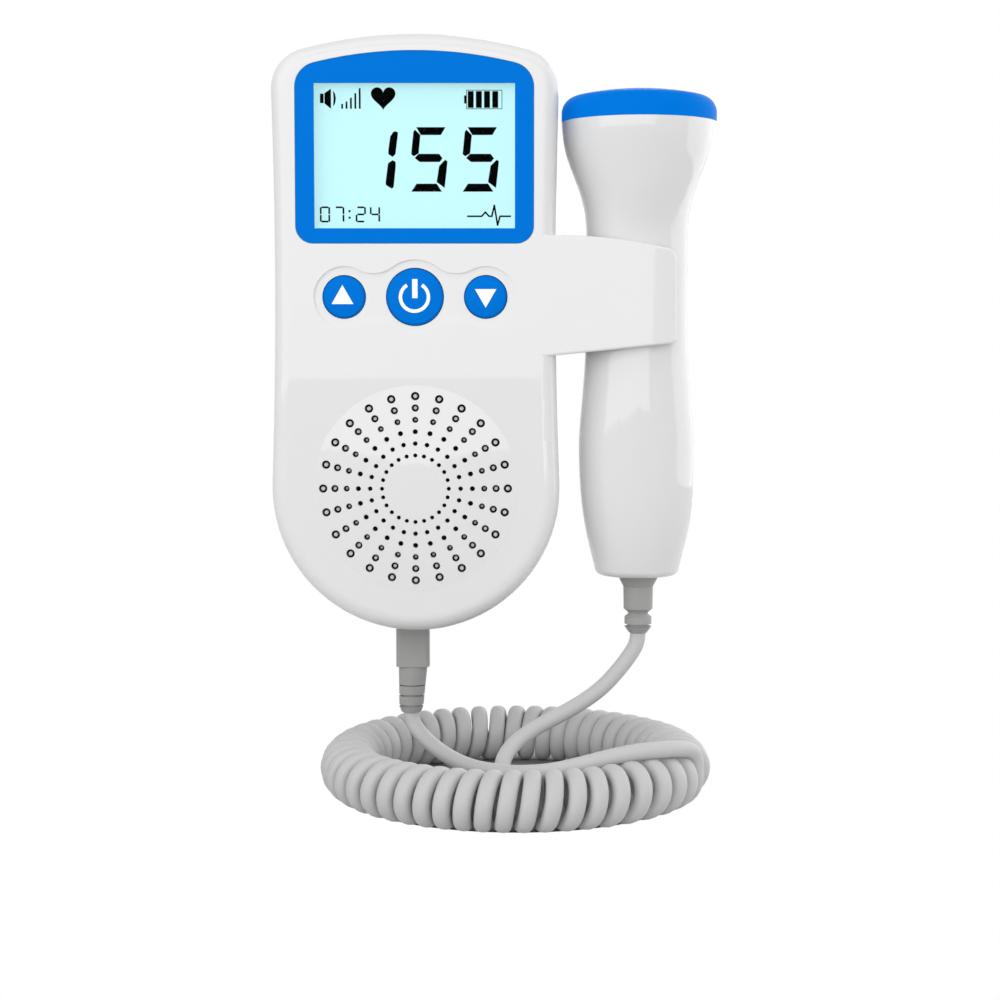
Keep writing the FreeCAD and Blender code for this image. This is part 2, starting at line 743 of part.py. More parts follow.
def speaker_grille():
    """A crowned disc, dished in the middle, with rings of holes: regular polygons of the round holes' area."""
    crown_radius = (grille_radius ** 2 + grille_crown ** 2) / (2 * grille_crown)
    crown_centre = V(0, front_y - grille_crown + crown_radius, grille_z)
    disc = rod_y(grille_radius, 0, grille_z, front_y - grille_crown - 0.1, front_y + grille_thickness - fit_gap)
    disc = disc.common(Part.makeSphere(crown_radius, crown_centre))
    dish_radius = (grille_dish_radius ** 2 + grille_dish_depth ** 2) / (2 * grille_dish_depth)
    dish_centre = V(0, front_y - grille_crown + grille_dish_depth - dish_radius, grille_z)
    disc = disc.cut(Part.makeSphere(dish_radius, dish_centre))
    same_area = math.sqrt(2 * math.pi / (hole_sides * math.sin(2 * math.pi / hole_sides)))
    holes = []
    for x, z, radius, turn in grille_hole_centres():
        corners = []
        for side in range(hole_sides + 1):
            angle = turn + 2 * math.pi * side / hole_sides
            reach = radius * same_area
            corners.append(V(x + reach * math.sin(angle), front_y - grille_crown - 1, z + reach * math.cos(angle)))
        holes.append(Part.Face(Part.makePolygon(corners)).extrude(BACK * (grille_thickness + grille_crown + 2)))
    return disc.cut(Part.makeCompound(holes))


def speaker_cloth():
    front = inner_front_y + fit_gap
    return rod_y(speaker_flange_radius, 0, grille_z, front, front + cloth_thickness)


def speaker_front_y():
    return inner_front_y + 2 * fit_gap + cloth_thickness


def speaker_frame():
    y0 = speaker_front_y()
    outer = speaker_flange_radius
    inner = outer - speaker_flange_width
    back = y0 + speaker_depth - magnet_thickness
    profile = [(inner, y0), (outer, y0), (outer, y0 + speaker_flange_thickness),
               (inner + speaker_sheet, y0 + speaker_flange_thickness + speaker_sheet),
               (speaker_waist_radius + speaker_sheet, back), (dust_cap_radius, back),
               (dust_cap_radius, back - speaker_sheet), (speaker_waist_radius, back - speaker_sheet),
               (inner, y0 + speaker_flange_thickness + speaker_sheet)]
    basket = turned_y(profile, 0, grille_z)
    windows = []
    for turn in frame_window_turns:
        window = box(-frame_window_width / 2, frame_window_width / 2, y0, back + 1, grille_z + frame_window_start,
                     grille_z + frame_window_end)
        window.rotate(V(0, 0, grille_z), BACK, turn)
        windows.append(window)
    return basket.cut(windows)


def speaker_cone():
    """Paper cone with a rolled surround and a domed dust cap."""
    y0 = speaker_front_y()
    rim = speaker_flange_radius - speaker_flange_width - open_gap
    throat_y = y0 + speaker_depth - magnet_thickness - 2 * speaker_sheet - open_gap
    sheet = speaker_sheet * 0.6
    profile = [(rim, y0 + 0.8), (rim - 1.2, y0 + 0.2), (rim - 2.4, y0 + 0.8), (dust_cap_radius, throat_y - 1.6),
               (dust_cap_radius * 0.6, throat_y - 3.0), (0, throat_y - 3.6), (0, throat_y - 3.6 + sheet),
               (dust_cap_radius * 0.6, throat_y - 3.0 + sheet), (dust_cap_radius, throat_y),
               (rim - 2.4, y0 + 0.8 + sheet), (rim - 1.2, y0 + 0.2 + sheet), (rim, y0 + 0.8 + sheet)]
    return turned_y(profile, 0, grille_z)


def speaker_magnet():
    front = speaker_front_y() + speaker_depth - magnet_thickness
    plate = rod_y(magnet_radius + 0.8, 0, grille_z, front, front + 1.0)
    ring = rod_y(magnet_radius, 0, grille_z, front + 1.0, front + magnet_thickness)
    return plate.fuse(ring)


# Battery parts

def cell_axis_y():
    return -(cover_thickness + open_gap + cell_gap / 2 + cell_radius)


def battery(side, nub_up):
    x = side * (cell_radius + cell_gap / 2)
    low = bay_bottom_z + contact_thickness
    y = cell_axis_y()
    if nub_up:
        start = low + contact_spring_height
        can = rod(cell_radius, (x, y, start), (x, y, start + cell_length))
        top = start + cell_length
        nub = rod(cell_nub_radius, (x, y, top - 0.1), (x, y, top + cell_nub_height))
    else:
        start = low + cell_nub_height
        can = rod(cell_radius, (x, y, start), (x, y, start + cell_length))
        nub = rod(cell_nub_radius, (x, y, low), (x, y, start + 0.1))
    can = can.makeFillet(0.8, [edge for edge in can.Edges if edge.Curve.TypeId == "Part::GeomCircle"])
    return can.fuse(nub)


def contact_plate(x0, x1, z0):
    y = cell_axis_y()
    return box(x0, x1, y - cell_radius * 0.7, y + cell_radius * 0.7, z0, z0 + contact_thickness)


def contact_cone(side, plate_z, direction):
    """A conical contact spring, closed to its outer form."""
    x = side * (cell_radius + cell_gap / 2)
    base = plate_z + (contact_thickness if direction > 0 else 0)
    return Part.makeCone(contact_spring_radius, contact_spring_radius * 0.6, contact_spring_height - fit_gap,
                         V(x, cell_axis_y(), base), UP * direction)


def battery_contacts():
    """Spring and button contacts: one pair joined at the top, two apart at the bottom."""
    top_z = bay_top_z - contact_thickness
    half = bay_half_width - fit_gap
    bridge = contact_plate(-half, half, top_z)
    bridge = bridge.fuse(contact_cone(1, top_z, -1))
    left = contact_plate(-half, -0.8, bay_bottom_z).fuse(contact_cone(-1, bay_bottom_z, 1))
    right = contact_plate(0.8, half, bay_bottom_z)
    return Part.makeCompound([bridge, left, right])


def battery_cover():
    back = -cover_recess
    front = back - cover_thickness
    half = cover_half_width - open_gap
    plate = cover_prism(half, cover_bottom_z + open_gap, hinge_z, front, back)
    knuckle = rod(cover_thickness / 2, (-half, hinge_y, hinge_z), (half, hinge_y, hinge_z))
    pin_reach = half + hinge_pin_length
    pins = rod(hinge_pin_radius, (-pin_reach, hinge_y, hinge_z), (pin_reach, hinge_y, hinge_z))
    cover = plate.fuse([knuckle, pins])
    grooves = []
    for row in range(grip_groove_count):
        z = cover_bottom_z + 6 + row * grip_groove_pitch
        reach = grip_groove_length / 2
        grooves.append(rod(grip_groove_radius, (-reach, back, z), (reach, back, z)))
    return cover.cut(grooves).removeSplitter()


def case_screws():
    screws = []
    for x, z in post_places:
        seat = -head_seat_depth
        head = rod_y(screw_head_radius, x, z, seat, seat + screw_head_height)
        shank = rod_y(screw_radius, x, z, seat - screw_length, seat + 0.1)
        screws.append(head.fuse(shank))
    return Part.makeCompound(screws)


# Probe

def probe_section(half_width, half_depth, z, side):
    """Half an ellipse, on the front (-1) or back (1) side of the parting plane, closed by a straight edge."""
    if half_width >= half_depth:
        ends = V(half_width, 0, 0), V(0, half_depth, 0)
    else:
        ends = V(0, half_depth, 0), V(-half_width, 0, 0)
    centre = V(probe_x, probe_y, z)
    ellipse = Part.Ellipse(centre + ends[0], centre + ends[1], centre)
    stops = [ellipse.parameter(centre + V(way * half_width, 0, 0)) for way in (side, -side)]
    if stops[1] < stops[0]:
        stops[1] += 2 * math.pi
    bow = Part.ArcOfEllipse(ellipse, *stops).toShape()
    return Part.Wire([bow, Part.LineSegment(bow.Vertexes[-1].Point, bow.Vertexes[0].Point).toShape()])


def probe_form(side, inset):
    """One half of the probe's lofted form, moved inwards by inset."""
    return Part.makeLoft([probe_section(half_width - inset, half_depth - inset, z, side)
                          for z, half_width, half_depth in probe_sections], True, False)


def probe_rib(z):
    """A cross rib of the rear half that the probe's board rests on."""
    half = probe_board_width / 2
    seat_y = probe_y + probe_board_set_back + probe_board_thickness + fit_gap
    return box(probe_x - half, probe_x + half, seat_y, probe_y + 40, z, z + probe_rib_thickness)


def probe_half(side):
    foot_z = probe_sections[0][0]
    body = probe_form(side, 0)
    bottom = [edge for edge in body.Edges if edge.BoundBox.ZMax < foot_z + 0.01 and edge.BoundBox.YLength > 1]
    body = body.makeFillet(probe_foot_round, bottom)
    below = box(probe_x - 40, probe_x + 40, probe_y - 40, probe_y + 40, foot_z - 5, foot_z + probe_floor)
    shell = body.cut(probe_form(side, probe_wall).cut(below))
    if side > 0:
        shell = shell.fuse([probe_rib(z).common(body) for z in probe_rib_heights])
    return shell.cut(rod(probe_boot_radius + fit_gap, (probe_boot_x, probe_y, foot_z - 1),
                         (probe_boot_x, probe_y, foot_z + probe_floor + 1)))


def cap_profile(inset, low_z):
    """Half outline of the crowned cap, from its axis to its rim."""
    rim = probe_sections[-1][1] - inset
    crown = cap_crown_radius - inset
    shoulder = cap_shoulder_radius - inset
    crown_centre = (0.0, probe_top_z - cap_crown_radius)
    shoulder_x = rim - shoulder
    shoulder_z = crown_centre[1] + math.sqrt((crown - shoulder) ** 2 - shoulder_x ** 2)
    meet = heading(crown_centre, (shoulder_x, shoulder_z))
    y = 0.0
    arcs = [
        arc_edge(crown_centre, crown, 90, meet, y),
        arc_edge((shoulder_x, shoulder_z), shoulder, meet, 0, y),
        line_edge((rim, shoulder_z), (rim, low_z), y),
        line_edge((rim, low_z), (0.0, low_z), y),
        line_edge((0.0, low_z), (0.0, crown_centre[1] + crown), y),
    ]
    face = Part.Face(Part.Wire(arcs))
    solid = face.revolve(V(0, 0, 0), UP, 360)
    solid.translate(V(probe_x, probe_y, 0))
    return solid


def probe_cap():
    cap = cap_profile(0, cap_bottom_z)
    hollow = cap_profile(cap_wall, cap_bottom_z - 1)
    rim = probe_sections[-1][1]
    low = cap_bottom_z - spigot_height
    spigot = rod(rim, (probe_x, probe_y, low), (probe_x, probe_y, cap_bottom_z + spigot_web))
    spigot = spigot.cut(rod(rim - probe_wall - spigot_thickness, (probe_x, probe_y, low - 1),
                            (probe_x, probe_y, cap_bottom_z + 2)))
    inside = probe_wall + 2 * fit_gap
    room = probe_form(-1, inside).fuse([probe_form(1, inside), cap_profile(0.5, cap_bottom_z)])
    return cap.cut(hollow).fuse(spigot.common(room)).removeSplitter()


def crystal_top_z():
    return probe_top_z - cap_wall - 1.2


def transducer_crystals():
    """Two half-round piezo discs, one to send and one to receive."""
    top = crystal_top_z()
    disc = rod(crystal_radius, (probe_x, probe_y, top - crystal_thickness), (probe_x, probe_y, top))
    halves = []
    for side in (-1, 1):
        x0 = probe_x + side * crystal_split / 2
        x1 = probe_x + side * 2 * crystal_radius
        halves.append(disc.common(box(min(x0, x1), max(x0, x1), probe_y - 20, probe_y + 20, top - 5, top + 5)))
    return Part.makeCompound(halves)


def transducer_backing():
    top = crystal_top_z() - crystal_thickness
    outer = probe_sections[-1][1] - probe_wall - spigot_thickness - fit_gap
    disc = rod(crystal_radius + backing_rim, (probe_x, probe_y, top - backing_thickness), (probe_x, probe_y, top))
    low = top - backing_thickness
    carrier = rod(outer, (probe_x, probe_y, low), (probe_x, probe_y, low + backing_carrier))
    return disc.fuse(carrier)


def probe_board():
    half = probe_board_width / 2
    y = probe_y + probe_board_set_back
    return box(probe_x - half, probe_x + half, y, y + probe_board_thickness, probe_board_bottom_z,
               probe_board_top_z)


# Strain reliefs and cord

def unit_boot_block(grow, top_z, end_z):
    half_width = unit_boot_width / 2 + grow
    half_depth = unit_boot_depth / 2 + grow
    return box(unit_boot_x - half_width, unit_boot_x + half_width, parting_y - half_depth, parting_y + half_depth,
               end_z, top_z)


def unit_boot_hollow():
    """The seat in the housing's bottom wall, with room for the retaining flange inside."""
    top = unit_bottom_z + side_wall + boot_insert
    return unit_boot_block(fit_gap, top, unit_bottom_z - 5)


def unit_boot():
    """A moulded strain relief: a square block with a retaining flange, a step, and a ringed tail."""
    inner_z = unit_bottom_z + side_wall + fit_gap
    block = unit_boot_block(0, inner_z + boot_insert, unit_boot_step_z)
    block = block.makeFillet(unit_boot_corner, edges_along(block, UP, lambda at: True))
    flange = unit_boot_block(boot_flange, inner_z + boot_insert, inner_z + 0.9)
    low_y = parting_y
    tail_x = unit_boot_x - unit_boot_lean
    tail_sections = [
        ellipse_wire(unit_boot_tail_width / 2, unit_boot_tail_depth / 2, unit_boot_x, low_y, unit_boot_step_z),
        ellipse_wire(unit_boot_end_width / 2, unit_boot_end_depth / 2, tail_x, low_y, unit_boot_end_z + 1.4),
        ellipse_wire(cord_diameter / 2 + 0.5, cord_diameter / 2 + 0.4, tail_x, low_y, unit_boot_end_z),
    ]
    tail = Part.makeLoft(tail_sections, True, True)
    boot = block.fuse([flange, tail])
    grooves = []
    for height, width in unit_boot_grooves:
        z = unit_boot_end_z + height
        ring = box(unit_boot_x - 10, unit_boot_x + 10, low_y - 10, low_y + 10, z - width / 2, z + width / 2)
        grooves.append(ring.cut(rod(cord_diameter / 2 + 0.3, (tail_x, low_y, z - 1), (tail_x, low_y, z + 1))))
    return boot.cut(grooves).removeSplitter()


def probe_boot():
    """A turned strain relief with a flared root, a neck and a ring above the cord."""
    root = probe_boot_root_z
    end = probe_boot_end_z
    inside = probe_sections[0][0] + probe_floor
    r = probe_boot_radius
    ring = probe_boot_ring_radius
    cord = cord_diameter / 2
    foot = probe_sections[0][0] - fit_gap
    flare = probe_boot_top_radius
    profile = [(0, inside), (r, inside), (r, foot), (flare, foot), (flare, root - 0.5),
               (r, root - 2.8), (r - 0.1, end + 6.2), (ring - 0.7, end + 5.4), (ring - 1.0, end + 4.9),
               (ring, end + 4.1), (ring, end + 2.3), (ring - 0.7, end + 2.2), (ring - 0.7, end + 1.7),
               (ring, end + 1.6), (ring - 0.4, end + 1.0), (cord + 0.3, end), (0, end)]
    return turned([(probe_boot_x + radius, probe_y, z) for radius, z in profile], V(probe_boot_x, probe_y, 0), UP)


def rounded_route(points):
    """Straight runs joined by tangent arcs, each as large as its two runs allow, with the arcs' radii."""
    points = [V(*point) for point in points]
    edges, radii = [], []
    last = points[0]
    for before, corner, after in zip(points, points[1:], points[2:]):
        run_in, run_out = before - corner, after - corner
        reach = 0.45 * min(run_in.Length, run_out.Length)
        run_in.normalize()
        run_out.normalize()
        half_turn = (math.pi - run_in.getAngle(run_out)) / 2
        radius = reach / math.tan(half_turn)
        towards = run_in + run_out
        towards.normalize()
        middle = corner + towards * (radius / math.cos(half_turn) - radius)
        start, end = corner + run_in * reach, corner + run_out * reach
        edges.append(Part.LineSegment(last, start).toShape())
        edges.append(Part.Arc(start, middle, end).toShape())
        radii.append(radius)
        last = end
    edges.append(Part.LineSegment(last, points[-1]).toShape())
    return Part.Wire(edges), radii


def cord_tube(name, points):
    path, radii = rounded_route(points)
    start = V(*points[0])
    direction = V(*points[1]) - start
    circle = Part.Wire(Part.Circle(start, direction, cord_diameter / 2).toShape())
    tube = path.makePipeShell([circle], True, True)
    expected = math.pi * (cord_diameter / 2) ** 2 * path.Length
    print(f"{name}: length {path.Length:.1f}, radii {min(radii):.1f} to {max(radii):.1f}, "
          f"volume {tube.Volume:.1f} against {expected:.1f}")
    return tube


def cord_coil():
    """The curly stretch as one fat tube of its outer diameter, lying in an open ring."""
    span = coil_start_angle - coil_end_angle
    angle = math.radians(coil_end_angle)
    outwards = V(math.cos(angle), math.sin(angle), 0)
    centre = V(ring_x, ring_y, ring_z) + outwards * ring_radius
    section = Part.Face(Part.Wire(Part.Circle(centre, UP.cross(outwards), curl_radius).toShape()))
    return section.revolve(V(ring_x, ring_y, ring_z), UP, span)


parts = {
    "front_shell": front_shell(),
    "rear_shell": rear_shell(),
    "display_bezel": display_bezel(),
    "display_lens": display_lens(),
    "lcd_panel": lcd_panel(),
    "lcd_backlight": lcd_backlight(),
    "main_board": main_board(),
    "board_screws": board_screws(),
    "board_chips": board_chips(),
    "tact_switches": tact_switches(),
    "headphone_jack": headphone_jack(),
    "speaker_grille": speaker_grille(),
    "speaker_cloth": speaker_cloth(),
    "speaker_frame": speaker_frame(),
    "speaker_cone": speaker_cone(),
    "speaker_magnet": speaker_magnet(),
    "battery_left": battery(-1, True),
    "battery_right": battery(1, False),
    "battery_contacts": battery_contacts(),
    "battery_cover": battery_cover(),
    "case_screws": case_screws(),
    "probe_front_shell": probe_half(-1),
    "probe_rear_shell": probe_half(1),
    "probe_cap": probe_cap(),
    "transducer_crystals": transducer_crystals(),
    "transducer_backing": transducer_backing(),
    "probe_board": probe_board(),
    "probe_boot": probe_boot(),
    "unit_boot": unit_boot(),
    "cord_unit_lead": cord_tube("cord_unit_lead", unit_lead_route),
    "cord_coil": cord_coil(),
    "cord_probe_lead": cord_tube("cord_probe_lead", probe_lead_route),
}
for label, (button_x, button_radius) in button_places.items():
    parts[f"button_{label}"] = button(button_x, button_radius)

os.makedirs("parts", exist_ok=True)
for node, shape in parts.items():
    shape.exportStep(f"parts/{node}.step")
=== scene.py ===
import math

import bmesh
import bpy
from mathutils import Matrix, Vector


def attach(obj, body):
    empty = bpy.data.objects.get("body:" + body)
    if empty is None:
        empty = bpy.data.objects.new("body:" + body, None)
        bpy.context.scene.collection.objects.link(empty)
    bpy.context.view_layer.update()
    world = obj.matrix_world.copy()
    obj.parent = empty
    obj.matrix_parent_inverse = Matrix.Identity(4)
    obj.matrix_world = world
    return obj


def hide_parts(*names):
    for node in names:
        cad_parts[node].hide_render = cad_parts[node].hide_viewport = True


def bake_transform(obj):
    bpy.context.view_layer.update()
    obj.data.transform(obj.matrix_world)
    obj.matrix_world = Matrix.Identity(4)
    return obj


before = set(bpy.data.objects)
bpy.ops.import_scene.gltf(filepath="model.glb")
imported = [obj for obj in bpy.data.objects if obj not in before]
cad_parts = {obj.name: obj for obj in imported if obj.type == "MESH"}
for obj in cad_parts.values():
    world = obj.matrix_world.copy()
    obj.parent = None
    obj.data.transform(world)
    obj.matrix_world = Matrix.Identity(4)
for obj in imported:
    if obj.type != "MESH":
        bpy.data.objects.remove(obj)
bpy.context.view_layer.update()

# Fetal doppler monitor: a unit with display, keys and speaker, its probe in a clip at the side and
# its curly lead in a ring below. Sizes are in millimetres, in the solids' frame: X to the right,
# Y to the back, Z up.

MM = 0.001
UP = Vector((0, 0, 1))
FULL_TURN = 2 * math.pi


def mm(point):
    return Vector(point) * MM


# Camera: 0.5 m in front of the unit's middle, tilted 4.5 degrees down

CAMERA_PLACE = (20.9, -534.459, -1.395)
CAMERA_PITCH = 85.5
FOCAL_LENGTH = 72.727
SENSOR_WIDTH = 36

camera_data = bpy.data.cameras.new("camera")
camera_data.lens = FOCAL_LENGTH
camera_data.sensor_width = SENSOR_WIDTH
camera = bpy.data.objects.new("camera", camera_data)
camera.location = mm(CAMERA_PLACE)
camera.rotation_euler = (math.radians(CAMERA_PITCH), 0, 0)
bpy.context.collection.objects.link(camera)
bpy.context.scene.camera = camera
bpy.context.scene.view_settings.view_transform = "Standard"


# Small building blocks

def link(name, data):
    obj = bpy.data.objects.new(name, data)
    bpy.context.collection.objects.link(obj)
    return obj


def mesh_object(name, verts, faces, smooth=True):
    mesh = bpy.data.meshes.new(name)
    mesh.from_pydata([tuple(v) for v in verts], [], faces)
    mesh.polygons.foreach_set("use_smooth", [smooth] * len(mesh.polygons))
    mesh.update()
    return link(name, mesh)


def circle(sides):
    """The sines and cosines of evenly spaced turns."""
    turns = [FULL_TURN * k / sides for k in range(sides)]
    return [(math.sin(turn), math.cos(turn)) for turn in turns]


def spline_points(points, resolution):
    """Points along a NURBS spline, read from a curve with no bevel."""
    curve = bpy.data.curves.new("route", "CURVE")
    curve.dimensions = "3D"
    curve.resolution_u = resolution
    spline = curve.splines.new("NURBS")
    spline.points.add(len(points) - 1)
    for slot, point in zip(spline.points, points):
        slot.co = (*mm(point), 1)
    spline.order_u = 3
    spline.use_endpoint_u = True
    holder = bpy.data.objects.new("route", curve)
    mesh = bpy.data.meshes.new_from_object(holder)
    found = [v.co.copy() for v in mesh.vertices]
    bpy.data.objects.remove(holder)
    bpy.data.meshes.remove(mesh)
    return found


def section_frames(path, guides):
    """Two directions across the path at each point, carried along it without twist.

    Where a guide is given, the first direction follows it."""
    last = len(path) - 1
    ways = [(path[min(i + 1, last)] - path[max(i - 1, 0)]).normalized() for i in range(len(path))]
    across = [None] * len(path)
    first = next((i for i, guide in enumerate(guides) if guide is not None), 0)
    start = guides[first] if guides[first] is not None else ways[first].orthogonal()
    across[first] = (start - ways[first] * start.dot(ways[first])).normalized()
    for i in list(range(first - 1, -1, -1)) + list(range(first + 1, len(path))):
        near = across[i + 1] if i < first else across[i - 1]
        lead = guides[i] if guides[i] is not None else near
        across[i] = (lead - ways[i] * lead.dot(ways[i])).normalized()
    return [(a, way.cross(a)) for a, way in zip(across, ways)]


TUBE_SIDES = 20


def tube(name, path, section, guides=None):
    """A closed tube round a path.

    Its section is two half widths and the power that squares its oval off, 1 for none."""
    sides = TUBE_SIDES
    spokes = circle(sides)
    frames = section_frames(path, guides or [None] * len(path))
    verts, faces = [], []
    for i, (point, (across, other)) in enumerate(zip(path, frames)):
        deep, wide, square = section(i)
        for sine, cosine in spokes:
            c = math.copysign(abs(cosine) ** square, cosine) * deep
            d = math.copysign(abs(sine) ** square, sine) * wide
            verts.append(point + across * c + other * d)
    for i in range(len(path) - 1):
        for k in range(sides):
            a, b = i * sides + k, i * sides + (k + 1) % sides
            faces.append((a, b, b + sides, a + sides))
    faces.append(tuple(reversed(range(sides))))
    faces.append(tuple(range((len(path) - 1) * sides, len(path) * sides)))
    return mesh_object(name, verts, faces)


def add_peg(shapes, foot, stages, sides):
    """Adds a closed round form along Y to a bmesh, from (radius, y) pairs."""
    rows = []
    for radius, y in stages:
        rows.append([shapes.verts.new(mm(foot + Vector((radius * sine, y, radius * cosine))))
                     for sine, cosine in circle(sides)])
    for row, following in zip(rows, rows[1:]):
        for k in range(sides):
            n = (k + 1) % sides
            shapes.faces.new((row[k], row[n], following[n], following[k]))
    shapes.faces.new(list(reversed(rows[0])))
    shapes.faces.new(rows[-1])


def bmesh_object(name, shapes):
    """An object of the closed forms in a bmesh, which it frees."""
    bmesh.ops.recalc_face_normals(shapes, faces=shapes.faces)
    mesh = bpy.data.meshes.new(name)
    shapes.to_mesh(mesh)
    shapes.free()
    return link(name, mesh)


def apply_modifiers(obj):
    graph = bpy.context.evaluated_depsgraph_get()
    mesh = bpy.data.meshes.new_from_object(obj.evaluated_get(graph))
    obj.modifiers.clear()
    obj.data = mesh


# Materials

COAT_ROUGHNESS = 0.02
CLOUD_RATIO = 1 / 8
CLOUD_DETAIL = 3
GRAIN_RATIO = 8
GRAIN_DETAIL = 4
GRAIN_HEIGHT = 0.0001


def noise(tree, scale, detail):
    node = tree.nodes.new("ShaderNodeTexNoise")
    node.inputs["Scale"].default_value = scale
    node.inputs["Detail"].default_value = detail
    return node


def material(name, color, roughness, metallic=0.0, coat=0.0, gloss=0.5, vary=0.02, scale=400.0,
             bump=0.03, emission=0.0):
    """Moulded plastic or metal: slight mottling of the colour and a fine grain in the surface."""
    mat = bpy.data.materials.new(name)
    mat.use_nodes = True
    tree = mat.node_tree
    nodes, links = tree.nodes, tree.links
    shader = nodes["Principled BSDF"]
    shader.inputs["Roughness"].default_value = roughness
    shader.inputs["Metallic"].default_value = metallic
    shader.inputs["Coat Weight"].default_value = coat
    shader.inputs["Specular IOR Level"].default_value = gloss
    shader.inputs["Coat Roughness"].default_value = COAT_ROUGHNESS
    where = nodes.new("ShaderNodeTexCoord")
    cloud = noise(tree, scale * CLOUD_RATIO, CLOUD_DETAIL)
    links.new(where.outputs["Object"], cloud.inputs["Vector"])
    ramp = nodes.new("ShaderNodeMixRGB")
    ramp.inputs["Color1"].default_value = (*[c * (1 - vary) for c in color], 1)
    ramp.inputs["Color2"].default_value = (*[min(1, c * (1 + vary)) for c in color], 1)
    links.new(cloud.outputs["Fac"], ramp.inputs["Fac"])
    links.new(ramp.outputs["Color"], shader.inputs["Base Color"])
    # Emission makes the surface glow: the lit display's own light, and painted light where a part
    # that gives none is brightened.
    if emission:
        links.new(ramp.outputs["Color"], shader.inputs["Emission Color"])
        shader.inputs["Emission Strength"].default_value = emission
    grain = noise(tree, scale * GRAIN_RATIO, GRAIN_DETAIL)
    links.new(where.outputs["Object"], grain.inputs["Vector"])
    relief = nodes.new("ShaderNodeBump")
    relief.inputs["Strength"].default_value = bump
    relief.inputs["Distance"].default_value = GRAIN_HEIGHT
    links.new(grain.outputs["Fac"], relief.inputs["Height"])
    links.new(relief.outputs["Normal"], shader.inputs["Normal"])
    return mat


PANE_ROUGHNESS = 0.06
PANE_CLOUD_SCALE = 60
PANE_GLOSS = (0.0003, 0.0008)


def clear_sheet(name):
    """A thin clear pane: it lets light through and has a faint, slightly uneven gloss."""
    mat = bpy.data.materials.new(name)
    mat.use_nodes = True
    nodes, links = mat.node_tree.nodes, mat.node_tree.links
    nodes.remove(nodes["Principled BSDF"])
    through = nodes.new("ShaderNodeBsdfTransparent")
    gloss = nodes.new("ShaderNodeBsdfGlossy")
    gloss.inputs["Roughness"].default_value = PANE_ROUGHNESS
    cloud = nodes.new("ShaderNodeTexNoise")
    cloud.inputs["Scale"].default_value = PANE_CLOUD_SCALE
    ramp = nodes.new("ShaderNodeMapRange")
    ramp.inputs["To Min"].default_value, ramp.inputs["To Max"].default_value = PANE_GLOSS
    links.new(cloud.outputs["Fac"], ramp.inputs["Value"])
    mix = nodes.new("ShaderNodeMixShader")
    links.new(ramp.outputs["Result"], mix.inputs["Fac"])
    links.new(through.outputs[0], mix.inputs[1])
    links.new(gloss.outputs[0], mix.inputs[2])
    links.new(mix.outputs[0], nodes["Material Output"].inputs["Surface"])
    return mat


WHITE = material("white_plastic", (0.82, 0.821, 0.82), 0.5, coat=0.8, gloss=0.0, vary=0.004)
PROBE_WHITE = material("probe_plastic", (0.785, 0.785, 0.785), 0.5, coat=0.95, gloss=0.0,
                       vary=0.004)
BLUE = material("blue_plastic", (0.0, 0.19, 0.74), 0.45, gloss=0.015, vary=0.01)
# The probe cap glows: painted light that lifts its dark blue, though the cap gives no light of its
# own.
GLOWING_CAP_BLUE = material("cap_plastic_painted_glow", (0.0, 0.1, 0.39), 0.4, gloss=0.01, vary=0.01, emission=0.95)
LCD = material("lcd_glass", (0.36, 0.6, 0.61), 0.5, gloss=0.05, vary=0.005, bump=0.0, emission=0.7)
INK = material("display_ink", (0.0012, 0.0012, 0.0014), 0.9, gloss=0.0, vary=0.3)
# The signs on the keys glow a little: painted light on the white print, which gives no light of
# its own.
GLOWING_PRINT = material("key_print_painted_glow", (0.97, 0.97, 0.97), 0.45, gloss=0.3, emission=0.12, vary=0.01)
CORD = material("cord_sheath", (0.59, 0.59, 0.588), 0.5, gloss=0.25, vary=0.015, scale=300,
                bump=0.05)
BOOT = material("boot_rubber", (0.385, 0.385, 0.38), 0.55, gloss=0.25, vary=0.03, scale=300,
                bump=0.06)
CLOTH = material("speaker_cloth", (0.02, 0.02, 0.024), 0.9, vary=0.4, scale=1500, bump=0.4)
STEEL = material("plated_steel", (0.5, 0.5, 0.5), 0.3, metallic=1.0, vary=0.08)
BOARD = material("board_green", (0.01, 0.1, 0.04), 0.4, coat=0.3, vary=0.2)
PIN = material("pin_plastic", (0.6, 0.6, 0.6), 0.6, gloss=0.2, vary=0.02)
BLACK = material("black_moulding", (0.01, 0.01, 0.011), 0.45, vary=0.3)
PAPER = material("cone_paper", (0.02, 0.02, 0.022), 0.8, vary=0.3)
FERRITE = material("ferrite", (0.05, 0.05, 0.055), 0.6, vary=0.2)
CELL = material("cell_sleeve", (0.03, 0.035, 0.045), 0.35, metallic=0.3, vary=0.1)
CERAMIC = material("silvered_ceramic", (0.6, 0.58, 0.53), 0.45, vary=0.05)
DIFFUSER = material("light_guide", (0.75, 0.88, 0.9), 0.4)
LENS = clear_sheet("clear_lens")

